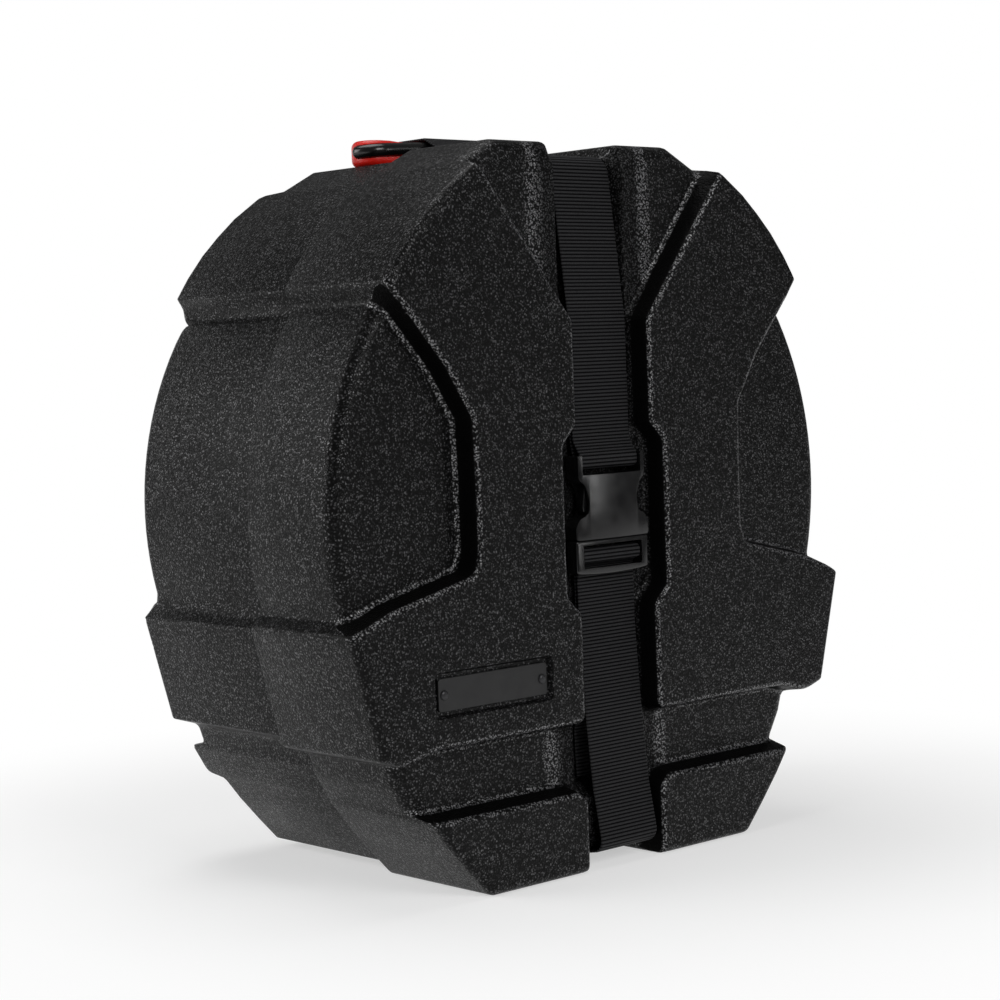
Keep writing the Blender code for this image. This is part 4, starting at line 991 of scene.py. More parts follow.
@dataclass
class MouldedFace:
    """One half's relief, as a height out from the mid-plane.

    Rows in capitals are distances in millimetres from an edge, at which points of the mesh are laid. EDGE
    is the relief's own profile: distance inside its edge, share of its step, and slope.
    """

    half: Half
    outline: CaseOutline
    regions: list[list[Key]]
    floor: list[Flat]
    bands: list[list[Key]] = field(default_factory=list)
    bumpers: list[list[Key]] = field(default_factory=list)
    recess: list[Key] | None = None
    inset: float = 0.0
    level: float = 94 * MM
    relief: float = 16 * MM
    band_step: float = 0.78
    bumper_rise: float = 15 * MM
    badge_depth: float = 3.5 * MM
    channel_half: float = 28 * MM
    shaded_slope: float = 2.35
    rim: Flat = (10 * MM, 5 * MM)

    EDGE = [(-4.5 * MM, 0.0, 0.0), (-1.5 * MM, 0.12, 100.0), (1.5 * MM, 0.9, 80.0), (5.0 * MM, 1.0, 0.0)]
    ACROSS = (-6.2, -5.2, -4.5, -3.7, -3.0, -2.3, -1.7, -1.2, -0.7, -0.2, 0.3, 0.8, 1.3, 1.9, 2.6, 3.4, 4.3,
              5.2, 6.4)
    RIM_ROWS = (0.12, 0.4, 0.8, 1.3, 1.9, 2.6, 3.4, 4.3, 5.3, 6.5, 8.0, 10.0, 12.0)
    CHANNEL_ROWS = (-2.4, -1.6, -1.0, -0.5, 0.0, 0.5, 1.0, 1.6, 2.4)
    LIP_ROWS = ((1.3, 0.0), (0.65, 0.18), (0.2, 0.6), (0.0, 1.3))
    CLOSEST = 0.42 * MM
    LOOSE_STEP = 7 * MM
    CLEAR_OF_RIM = 14 * MM
    CLEAR_OF_RELIEF = 7.5 * MM
    CLEAR_OF_CHANNEL = 4 * MM

    def spacing(self, wall: float) -> float:
        """The largest step along the relief's edges, coarser on the inner sheet."""
        return 5 * MM if wall else 3 * MM

    def border(self, wall: float) -> np.ndarray:
        """The face's outline at its outer surface or a wall inside it."""
        return round_loop(self.outline.keys(), self.inset + wall)

    def raised(self, points: np.ndarray, wall: float, loops: list[list[Key]]) -> np.ndarray:
        """How far the relief of some regions stands up at points, as a share of its step."""
        deepest = np.max([depth_inside(points, round_loop(loop)) for loop in loops], axis=0)
        return curve_through(deepest - wall, self.EDGE)

    def step_share(self, points: np.ndarray, wall: float) -> np.ndarray:
        """How far the panels, feet and side bands stand up.

        Args:
            points: X and Z of each point.
            wall: Wall thickness inside the outer surface.

        Returns:
            The height at each point, as a share of the full step.
        """
        raised = self.raised(points, wall, self.regions)
        if self.bands:
            raised = np.maximum(raised, self.band_step * self.raised(points, wall, self.bands))
        return raised

    def steepness(self, points: np.ndarray, wall: float, border: np.ndarray) -> np.ndarray:
        """The slope of the relief's walls, from which the shell's finish paints highlights on lips and shade
        in walls.

        The low ground beside the strap counts as a fairly steep wall, so that painted shade falls there.

        Args:
            points: X and Z of each point.
            wall: Wall thickness inside the outer surface.
            border: The face's outline there.

        Returns:
            Rise over run at each point, and 0 on the border and on the inner sheet.
        """
        if wall:
            return np.zeros(len(points))
        near = 0.3 * MM
        slopes = []
        for shift in (np.array((near, 0.0)), np.array((0.0, near))):
            rise = self.step_share(points + shift, wall) - self.step_share(points - shift, wall)
            slopes.append(rise / (2 * near))
        # Painted shade: the low ground beside the strap is made to read as a steep wall, so the finish
        # paints it dark.
        beside = eased(54 * MM - np.abs(points[:, 0]), 0.0, 14 * MM)
        shade = beside * eased(0.45 - self.step_share(points, wall), 0, 0.3)
        slope = np.hypot(*slopes) * self.relief * (1 - shade) + self.shaded_slope * shade
        return np.where(depth_inside(points, border) > 0.05 * MM, slope, 0.0)

    def heights(self, points: np.ndarray, wall: float, border: np.ndarray) -> np.ndarray:
        """The surface's height at points of the front view.

        Args:
            points: X and Z of each point.
            wall: Wall thickness inside the outer surface.
            border: The face's outline there.

        Returns:
            The heights out from the mid-plane.
        """
        raised = self.step_share(points, wall)
        level = self.level + self.relief * raised
        places, depths = zip(*self.floor)
        floor = np.interp(points[:, 1], places, depths)
        channel = eased(self.channel_half + wall - np.abs(points[:, 0]), -1.5 * MM, 1.5 * MM)
        level = level + (floor - level) * channel
        for bumper in self.bumpers:
            level = level + self.bumper_rise * self.raised(points, wall, [bumper])
        if self.recess and not wall:
            level = level - self.badge_depth * eased(depth_inside(points, round_loop(self.recess)), -MM, MM)
        radius = np.maximum(self.rim[0] + (self.rim[1] - self.rim[0]) * raised - wall, MM)
        distance = np.clip(depth_inside(points, border), 0.0, None)
        short = np.maximum(radius - distance, 0.0)
        return level - wall - (radius - np.sqrt(radius ** 2 - short ** 2))

    def samples(self, wall: float, border: np.ndarray) -> np.ndarray:
        """Points that follow the relief closely and its flats loosely.

        Args:
            wall: Wall thickness inside the outer surface.
            border: The face's outline there.

        Returns:
            The points, none of them on the border.
        """
        step = self.spacing(wall)
        skip = 2 if wall else 1
        along, inward = resample(border, step)
        groups = [along + inward * row * MM for row in self.RIM_ROWS[::skip]]
        loops = self.regions + self.bands + self.bumpers
        if self.recess and not wall:
            loops = loops + [self.recess]
        for region in loops:
            along, inward = resample(round_loop(region), step)
            groups += [along + inward * (row * MM + wall) for row in self.ACROSS[::skip]]
        tall = np.arange(0.0, self.outline.height, step)
        for side in (-1, 1):
            for row in self.CHANNEL_ROWS[::skip]:
                beside = np.full(tall.shape, side * (self.channel_half + wall + row * MM))
                groups.append(np.stack((beside, tall), 1))
        across = np.arange(-25 * MM, 25.1 * MM, 5 * MM)
        groups += [np.stack((across, np.full(across.shape, place)), 1) for place, depth in self.floor[1:-1]]
        fine = np.concatenate(groups)
        fine = thinned(fine[depth_inside(fine, border) > 0.1 * MM], self.CLOSEST)
        wide = np.arange(-self.outline.half_width, self.outline.half_width, self.LOOSE_STEP)
        high = np.arange(0, self.outline.height, self.LOOSE_STEP)
        loose = np.stack(np.meshgrid(wide, high), 2).reshape(-1, 2)
        clear = depth_inside(loose, border) > self.CLEAR_OF_RIM
        for region in loops:
            clear &= np.abs(depth_inside(loose, round_loop(region)) - wall) > self.CLEAR_OF_RELIEF
        clear &= np.abs(np.abs(loose[:, 0]) - self.channel_half - wall) > self.CLEAR_OF_CHANNEL
        return np.concatenate((fine, loose[clear]))

    def add_sheet(self, mesh: Mesh, wall: float) -> None:
        """Adds the face at one wall depth to a mesh.

        No operator makes this freely curved relief, so its points are worked out here and joined by a
        triangulation.

        Args:
            mesh: The mesh that it goes into.
            wall: Wall thickness inside the outer surface.
        """
        border = self.border(wall)
        edge = resample(border, self.spacing(wall))[0]
        points = np.concatenate((edge, self.samples(wall, border)))
        flat, faces = triangulated(points, len(edge))
        heights = self.heights(flat, wall, border)
        layer = mesh.verts.layers.float.get("slope_and_painted_shade") or mesh.verts.layers.float.new("slope_and_painted_shade")
        made = [mesh.verts.new(place_at(x, z, height, self.half)) for (x, z), height in zip(flat, heights)]
        for vert, slope in zip(made, self.steepness(flat, wall, border)):
            vert[layer] = float(slope)
        add_faces(mesh, made, faces)

    def shell(self, name: str, open_depth: float) -> bpy.types.Object:
        """The whole moulding: both sheets, their skirts and the rounded lip between them.

        Args:
            name: The piece's name.
            open_depth: Depth of the open end.

        Returns:
            The closed shell.
        """
        mesh = bmesh.new()
        lips = []
        for wall, turn in ((0.0, 1.0), (WALL, -1.0)):
            before = set(mesh.verts)
            self.add_sheet(mesh, wall)
            rim = [edge for edge in mesh.edges if edge.is_boundary and edge.verts[0] not in before]
            border = self.border(wall)
            points, inward = resample(border, self.spacing(wall))
            for depth, step in self.LIP_ROWS:
                grown = bmesh.ops.extrude_edge_only(mesh, edges=rim)["geom"]
                ring = {}
                for vert in only_verts(grown):
                    nearest = int(np.hypot(*(points - (vert.co.x, vert.co.z)).T).argmin())
                    x, z = points[nearest] + inward[nearest] * step * MM * turn
                    vert.co = place_at(float(x), float(z), open_depth + depth * MM, self.half)
                    ring[nearest] = vert
                rim = only_edges(grown)
            lips.append([ring[index] for index in sorted(ring)])
        self.close_lip(mesh, *lips)
        return finish_mesh(name, mesh)

    def close_lip(self, mesh: Mesh, outer: Ring, inner: Ring) -> None:
        """Joins the two skirts with a flat lip, whose rings have different counts of points.

        Args:
            mesh: The mesh that they are in.
            outer: The outer skirt's last ring.
            inner: The inner skirt's last ring.
        """
        rings = [np.array([(vert.co.x, vert.co.z) for vert in ring]) for ring in (outer, inner)]
        points = [Vector(point) for ring in rings for point in ring.tolist()]
        edges = [(start + index, start + (index + 1) % count)
                 for start, count in ((0, len(outer)), (len(outer), len(inner))) for index in range(count)]
        flat, _, faces, origins = delaunay_2d_cdt(points, edges, [], 1, 0.0)[:4]
        corners = outer + inner
        middles = np.array([tuple(sum((flat[index] for index in face), Vector((0.0, 0.0))) / 3)
                            for face in faces])
        kept = (depth_inside(middles, rings[0]) > 0) & (depth_inside(middles, rings[1]) < 0)
        for face, keep in zip(faces, kept):
            if keep:
                mesh.faces.new([corners[origins[index][0]] for index in face])


@dataclass
class Lid:
    """The front half, whose skirt is the wider one."""

    outline: CaseOutline = field(default_factory=CaseOutline)
    parting: float = 14 * MM
    badge: Flat = BADGE_CENTRE
    badge_size: Flat = BADGE_SIZE
    badge_margin: float = 3.2 * MM
    foot_line: float = 91.5 * MM

    def recess(self) -> list[Key]:
        """The recess round the badge."""
        across, up = (size / 2 + self.badge_margin for size in self.badge_size)
        return rectangle(*self.badge, across, up, 2.5 * MM)

    def build(self, finishes: Finishes) -> bpy.types.Object:
        """Builds and dresses the lid's shell.

        Args:
            finishes: The case's finishes.

        Returns:
            The shell.
        """
        panel, foot = self.outline.panel(self.foot_line, True), self.outline.foot()
        floor = millimetres((-20, 101), (43.98, 101), (51.99, 88), (88.01, 88), (96.02, 92), (299.98, 92),
                            (344.99, 90), (439.98, 83.5), (480, 83.5))
        regions = [panel, mirror_keys(panel), foot, mirror_keys(foot)]
        face = MouldedFace(Half.LID, self.outline, regions, floor, recess=self.recess())
        shell = face.shell("lid_moulding", self.parting)
        reach = self.badge_size[0] / 2 - 4.2 * MM
        (x, z), depths = self.badge, (99 * MM, 112 * MM)
        holes = [level_bar(1.3 * MM, x + side * reach, z, depths, sides=16) for side in (-1, 1)]
        combine(shell, holes)
        dress(shell, finishes.shell, "lid", "shell", "lid_shell")
        return shell


@dataclass
class Base:
    """The rear half, whose spigot goes into the lid."""

    outline: CaseOutline = field(default_factory=CaseOutline)
    spigot: float = -50 * MM
    top: float = 441 * MM
    handle_y: float = HANDLE_Y
    pocket_half: Flat = (46.5 * MM, 31.03 * MM)
    pocket_depth: float = 29 * MM
    pocket_wall: float = 4 * MM

    POCKET_ROWS = ((29.0, 5.0), (28.6, 3.2), (27.6, 1.9), (26.0, 1.1), (24.0, 0.8), (4.0, 0.0), (2.2, -0.1),
                   (1.0, -0.7), (0.3, -1.6), (-0.1, -3.0), (-3.0, -3.4))

    def rear_foot(self, side: int) -> Mesh:
        """One rear foot, with its lower edges rounded.

        Args:
            side: -1 for the left one, 1 for the right one.

        Returns:
            The closed mesh.
        """
        near, far = sorted((side * 38.5 * MM, side * 84.5 * MM))
        foot = block((near, far), (54.5 * MM, 102.5 * MM), (0.0, 8.5 * MM), Half.BASE)
        edges = [edge for edge in foot.edges if min(vert.co.z for vert in edge.verts) < MM]
        bmesh.ops.bevel(foot, geom=edges, offset=2.5 * MM, offset_type="OFFSET", affect="EDGES", segments=4,
                        profile=0.5, material=-1)
        return foot

    def pocket_walls(self) -> Mesh:
        """The block of plastic that the hand pocket is moulded in.

        Returns:
            The closed mesh.
        """
        outer, low = self.pocket_half[0] + self.pocket_wall, self.top - self.pocket_depth - self.pocket_wall
        rim, shelf = self.top - 2.5 * MM, self.outline.shelf - 8.5 * MM
        half = [(outer, low), (outer, rim), (35.5 * MM, rim), (31.5 * MM, shelf)]
        near = self.handle_y - self.pocket_half[1] - self.pocket_wall
        far = near + 2 * (self.pocket_half[1] + self.pocket_wall)
        return slab(np.array(both_sides(half)), near, far, Half.BASE)

    def pocket(self) -> Mesh:
        """The hand pocket's hollow: a rounded floor, drafted sides and a lip that flares out.

        Returns:
            The closed mesh.
        """
        keys = rectangle(0.0, self.handle_y, *self.pocket_half, 7 * MM)
        rows = []
        for depth, gap in self.POCKET_ROWS:
            ring = round_loop(keys, gap * MM)
            rows.append([(x, MID_Y + y, self.top - depth * MM) for x, y in ring])
        return swept(np.array(rows))

    def holes(self) -> list[Mesh]:
        """The holes for the handle's screws and for the rivets that hold the webbing.

        Returns:
            Bars to cut the holes with.
        """
        depths = (80 * MM, 99 * MM)
        rivets = [level_bar(2.7 * MM, x * MM, RIVET_HEIGHT, depths, Half.BASE) for x in (-14, 14)]
        return screw_holes(SCREW_PLACES, 430 * MM, 451 * MM) + rivets

    def build(self, finishes: Finishes) -> bpy.types.Object:
        """Builds and dresses the base's shell.

        Args:
            finishes: The case's finishes.

        Returns:
            The shell.
        """
        panel, bumper = self.outline.panel(self.outline.below, False), self.outline.bumper()
        band, floor = self.outline.band(), millimetres((-20, 94), (480, 94))
        face = MouldedFace(Half.BASE, self.outline, [panel, mirror_keys(panel)], floor, inset=6 * MM,
                           bands=[band, mirror_keys(band)], bumpers=[bumper, mirror_keys(bumper)])
        shell = face.shell("base_moulding", self.spigot)
        combine(shell, [self.rear_foot(side) for side in (-1, 1)] + [self.pocket_walls()], Joining.JOIN)
        combine(shell, [self.pocket()] + self.holes())
        dress(shell, finishes.shell, "base", "shell", "base_shell")
        return shell


@dataclass
class WebbingRun:
    """One length of ribbed webbing along a route of (depth, height, radius) corners in millimetres."""

    name: str
    node: str
    body: str
    route: list[Key]
    width: float = 49.2 * MM
    thickness: float = 1.8 * MM
    pitch: float = 2.2 * MM
    drift: float = 0.0

    SELVEDGE = ((1.6, 1.0), (0.7, 0.9), (0.15, 0.5), (0.0, 0.0), (0.15, -0.5), (0.7, -0.9), (1.6, -1.0))

    def line(self) -> np.ndarray:
        """The centre-line, with rounded corners and even steps of a sixth of a rib.

        Returns:
            Depth and height of each point.
        """
        keys = [Vector((y * MM, z * MM)) for y, z, radius in self.route]
        points = [keys[0]]
        for index in range(1, len(keys) - 1):
            here = keys[index]
            first, second = (here - keys[index - 1]).normalized(), (keys[index + 1] - here).normalized()
            turn = turn_between(first, second)
            radius = self.route[index][2] * MM
            straight = abs(turn) <= 1e-4
            points += [here] if straight else corner_arc(here, first, second, radius, math.radians(6.0))
        points.append(keys[-1])
        flat = np.array([tuple(point) for point in points])
        lengths = run_up(np.hypot(*np.diff(flat, axis=0).T))
        places = np.linspace(0.0, lengths[-1], round(lengths[-1] / (self.pitch / 6)) + 1)
        return np.stack([np.interp(places, lengths, flat[:, axis]) for axis in (0, 1)], axis=1)

    def rows(self) -> np.ndarray:
        """The sections of the ribbed band, each a flat ring with rounded selvedges.

        Returns:
            The points, by section and by place round it.
        """
        line = self.line()
        along = np.gradient(line, axis=0)
        along /= np.hypot(along[:, 0], along[:, 1])[:, None]
        across = np.stack((-along[:, 1], along[:, 0]), axis=1)
        place = run_up(np.hypot(*np.diff(line, axis=0).T))
        rib = (0.5 + 0.5 * np.cos(math.tau * place / self.pitch)) ** 0.8
        thick = self.thickness / 2 * (0.62 + 0.38 * rib)
        half = self.width / 2
        right = [(half - short * MM, share) for short, share in self.SELVEDGE]
        left = [(-x, -share) for x, share in right]
        ring = [left[-1], *right, *left[:-1]]
        shift = self.drift * eased(-line[:, 1], -110 * MM, -18 * MM) * (line[:, 0] < -80 * MM)
        rows = [np.stack((x + shift, MID_Y + line[:, 0] + across[:, 0] * thick * share,
                          line[:, 1] + across[:, 1] * thick * share), axis=1) for x, share in ring]
        return np.stack(rows, axis=1)

    def build(self, finishes: Finishes) -> bpy.types.Object:
        """Builds and dresses the length of webbing.

        Args:
            finishes: The case's finishes.

        Returns:
            The finished piece.
        """
        piece = finish_mesh(self.name, swept(self.rows()), 60.0)
        dress(piece, finishes.webbing, self.body, "webbing", self.node)
        return piece


@dataclass
class Strap:
    """The webbing in its three lengths: over and under the lid, and round the base."""

    upper: tuple[Key, ...] = (
        (-14.3, 439.2, 0), (-85.14, 439.2, 11.2), (-96.98, 338.02, 60), (-97.28, 273.01, 60),
        (-97.28, 263.82, 12), (-103.88, 253.92, 4), (-103.88, 247.32, 3.15), (-97.28, 247.32, 3.15),
        (-97.28, 253.92, 2.1), (-94.88, 263.82, 12), (-94.88, 293.82, 0))
    lower: tuple[Key, ...] = (
        (-89.5, 55.99, 0), (-89.5, 84.01, 4), (-94.88, 100.02, 4), (-94.88, 190.9, 2.1),
        (-97.28, 193.3, 1.2), (-97.28, 197.5, 3.15), (-103.88, 197.5, 3.15), (-103.88, 190.9, 2.1),
        (-97.28, 187.61, 2.1),
        (-97.28, 151.21, 60), (-103.4, 48.0, 45), (-109.5, 11.5, 7.5), (-94.0, 8.8, 8), (-14.3, 8.8, 0))
    rear: tuple[Key, ...] = (
        (-13.7, 439.2, 0), (-8.0, 439.2, 12), (30.95, 459.4, 5.8), (59.8, 459.4, 5.8), (95.5, 427.1, 11.5),
        (95.5, 14.5, 11.5), (-13.7, 8.8, 0))
    drift: float = 2.4 * MM

    def build(self, finishes: Finishes) -> list[bpy.types.Object]:
        """Builds and dresses the three lengths.

        Args:
            finishes: The case's finishes.

        Returns:
            The finished pieces.
        """
        lower = list(self.lower)
        runs = (WebbingRun("webbing_front_upper", "strap_front_upper", "lid", list(self.upper)),
                WebbingRun("webbing_front_lower", "strap_front_lower", "lid", lower, drift=self.drift),
                WebbingRun("webbing_rear", "strap_base", "base", list(self.rear)))
        return [run.build(finishes) for run in runs]


@dataclass
class Buckle:
    """The side-release buckle: a hollow socket, the plug's frame and its two sprung arms.

    The pair `bar` is the depth and the radius of its round bars, and `plug` the plug's height limits.
    """

    half: float = 31.6 * MM
    low: float = 203.61 * MM
    height: float = 51.6 * MM
    back: float = 94.6 * MM
    front: float = 107.6 * MM
    crown: float = 2.2 * MM
    bar: Flat = (100.58 * MM, 2.1 * MM)
    socket_bar: float = 250.62 * MM
    plug_bar: float = 194.2 * MM
    plug: Flat = (181.21 * MM, 203.31 * MM)
    far_off: float = 9 * MM

    def cross_bar(self, height: float, reach: float) -> Mesh:
        """A round bar that the webbing wraps.

        Args:
            height: Its height above the ground.
            reach: How far it goes to each side.

        Returns:
            The closed mesh.
        """
        depth, radius = self.bar
        start, end = (Vector(place_at(x, height, depth)) for x in (-reach, reach))
        return round_bar(radius, start, end)

    def socket(self) -> bpy.types.Object:
        """The socket: a barrel-shaped front, open sides, two ears and a bar.

        Returns:
            The finished object.
        """
        half = millimetres((31.5, 203.61, 2.2), (31.6, 211.2, 4.5), (28.2, 216.6, 5), (21.4, 219.0, 4.5),
                           (20.4, 228.2, 9), (23.6, 237.2, 7), (28.7, 240.8, 5), (28.7, 255.21, 1.6),
                           (25.2, 255.21, 0.8), (25.2, 243.19, 0.9))
        solid = slab(round_loop(both_sides(half)), self.back, self.front)
        socket = finish_mesh("buckle_socket_moulding", solid)
        reach = self.half + GAP
        shares = [step / 16 - 1 for step in range(33)]
        arc = [(reach * share, self.crown * share ** 2 - self.front) for share in shares]
        arc += [(reach, 20 * MM - self.back), (-reach, 20 * MM - self.back)]
        barrel = plan_slab(np.array(arc), self.low - 10 * MM, self.low + self.height + 10 * MM)
        combine(socket, [barrel], Joining.KEEP)
        soften(socket, 1.7 * MM, 4)
        combine(socket, [self.cross_bar(self.socket_bar, 26.9 * MM)], Joining.JOIN)
        hollow = millimetres((19.4, 190, 0), (19.4, 217.54, 2), (25.91, 219.6, 1), (25.91, 239.63, 1.5))
        combine(socket, [slab(round_loop(both_sides(hollow)), self.back + 2.7 * MM, self.front - 2.7 * MM)])
        soften(socket, 0.35 * MM, 2, 45.0)
        return socket

    def frame(self) -> bpy.types.Object:
        """The plug's frame: two posts, a bowed bottom bar, a round bar and the guide tongue.

        Returns:
            The finished object.
        """
        low, high = self.plug
        outer = self.half - GAP
        bow = [(outer * share, low + 1.6 * MM * abs(share) ** 2.2, 0.0)
               for share in [step / 8 - 1 for step in range(1, 16)]]
        corners = [(outer, low + 1.9 * MM, 4.5 * MM), (outer, high, 1.5 * MM), (-outer, high, 1.5 * MM),
                   (-outer, low + 1.9 * MM, 4.5 * MM)]
        near, far = self.bar[0] - 4.6 * MM, self.bar[0] + 4.6 * MM
        frame = finish_mesh("buckle_plug_moulding", slab(round_loop(bow + corners), near, far))
        reach, crossbar = outer - 5.9 * MM, high - 3.2 * MM
        soften(frame, 1.5 * MM, 4)
        window = millimetres((reach / MM, 185.81, 1.2), (reach / MM, crossbar / MM, 1.2))
        combine(frame, [slab(round_loop(both_sides(window)), near - self.far_off, far + self.far_off)])
        behind = self.bar[0] - 3.3 * MM + 1.2 * MM
        below = low - self.far_off
        combine(frame, [block((-reach, reach), (near - self.far_off, behind), (below, crossbar))])
        combine(frame, [self.cross_bar(self.plug_bar, reach + 3 * MM)], Joining.JOIN)
        tongue = block((-7.6 * MM, 7.6 * MM), (self.bar[0] - 1.6 * MM, self.bar[0] + 1.6 * MM),
                       (high - 1.6 * MM, 233.02 * MM))
        combine(frame, [tongue], Joining.JOIN)
        soften(frame, 0.35 * MM, 2, 45.0)
        return frame

    def arm(self, name: str, side: int) -> bpy.types.Object:
        """One sprung arm, with its pad in the socket's open side.

        Args:
            name: The piece's name.
            side: -1 for the left one, 1 for the right one.

        Returns:
            The finished object.
        """
        keys = millimetres((15.2, 203.61, 0.6), (18.9, 203.61, 0.6), (18.9, 219.4, 1.2),
                           (22.59, 220.43, 1.2), (23.42, 223.99, 3), (21.39, 236.01, 4),
                           (16.21, 238.59, 2), (15.01, 234, 3))
        keys = keys if side > 0 else mirror_keys(keys)
        near, far = self.bar[0] - 2.9 * MM, self.bar[0] + 2.9 * MM
        piece = finish_mesh(name, slab(round_loop(keys), near, far))
        soften(piece, 0.9 * MM, 4)
        return piece

    def build(self, finishes: Finishes) -> list[bpy.types.Object]:
        """Builds and dresses the buckle.

        Args:
            finishes: The case's finishes.

        Returns:
            The finished pieces.
        """
        pieces = [self.socket(), self.frame()]
        pieces += [self.arm("buckle_arm_left", -1), self.arm("buckle_arm_right", 1)]
        nodes = (("lid", "buckle_socket"), ("lid", "buckle_plug"), ("prong_left", "prong_left"),
                 ("prong_right", "prong_right"))
        for piece, (body, node) in zip(pieces, nodes):
            dress(piece, finishes.buckle, body, "buckle", node)
        return pieces


@dataclass
class Badge:
    """A bare plate held by two domed rivets."""

    centre: Flat = BADGE_CENTRE
    size: Flat = BADGE_SIZE
    depths: Flat = (106.8 * MM, 108.3 * MM)
    rivet_reach: float = 38.8 * MM

    def plate(self) -> bpy.types.Object:
        """The plate, with round corners and a fine bevel round its front.

        Returns:
            The finished object.
        """
        (x, z), (width, height) = self.centre, self.size
        keys = rectangle(x, z, width / 2, height / 2, 2 * MM)
        plate = finish_mesh("badge_plate_bare", slab(round_loop(keys), *self.depths))
        soften(plate, 0.4 * MM, 3)
        depths = (104 * MM, 111 * MM)
        holes = [level_bar(1.3 * MM, x + side * self.rivet_reach, z, depths) for side in (-1, 1)]
        combine(plate, holes)
        return plate

    def rivet(self, name: str, side: int) -> bpy.types.Object:
        """One rivet, with its domed head.

        Args:
            name: The piece's name.
            side: -1 for the left one, 1 for the right one.

        Returns:
            The finished object.
        """
        rows = [(0, -5.5), (1, -5.5), (1, 0), (2.9, 0), (2.9, 0.3), (2.7, 0.65), (2.2, 1.02), (1.5, 1.27),
                (0.8, 1.38), (0, 1.4)]
        centre = Vector(place_at(self.centre[0] + side * self.rivet_reach, self.centre[1],
                                 self.depths[1] + 0.15 * MM))
        return finish_mesh(name, turned(millimetres(*rows), centre, FORWARDS))

    def build(self, finishes: Finishes) -> list[bpy.types.Object]:
        """Builds and dresses the badge.

        Args:
            finishes: The case's finishes.

        Returns:
            The finished pieces.
        """
        plate = self.plate()
        dress(plate, finishes.badge, "lid", "badge", "badge_plate")
        rivets = []
        for side, word in ((-1, "left"), (1, "right")):
            rivet = self.rivet(f"badge_rivet_head_{word}", side)
            dress(rivet, finishes.rivet, "lid", "rivet_black", f"badge_rivet_{word}")
            rivets.append(rivet)
        return [plate, *rivets]


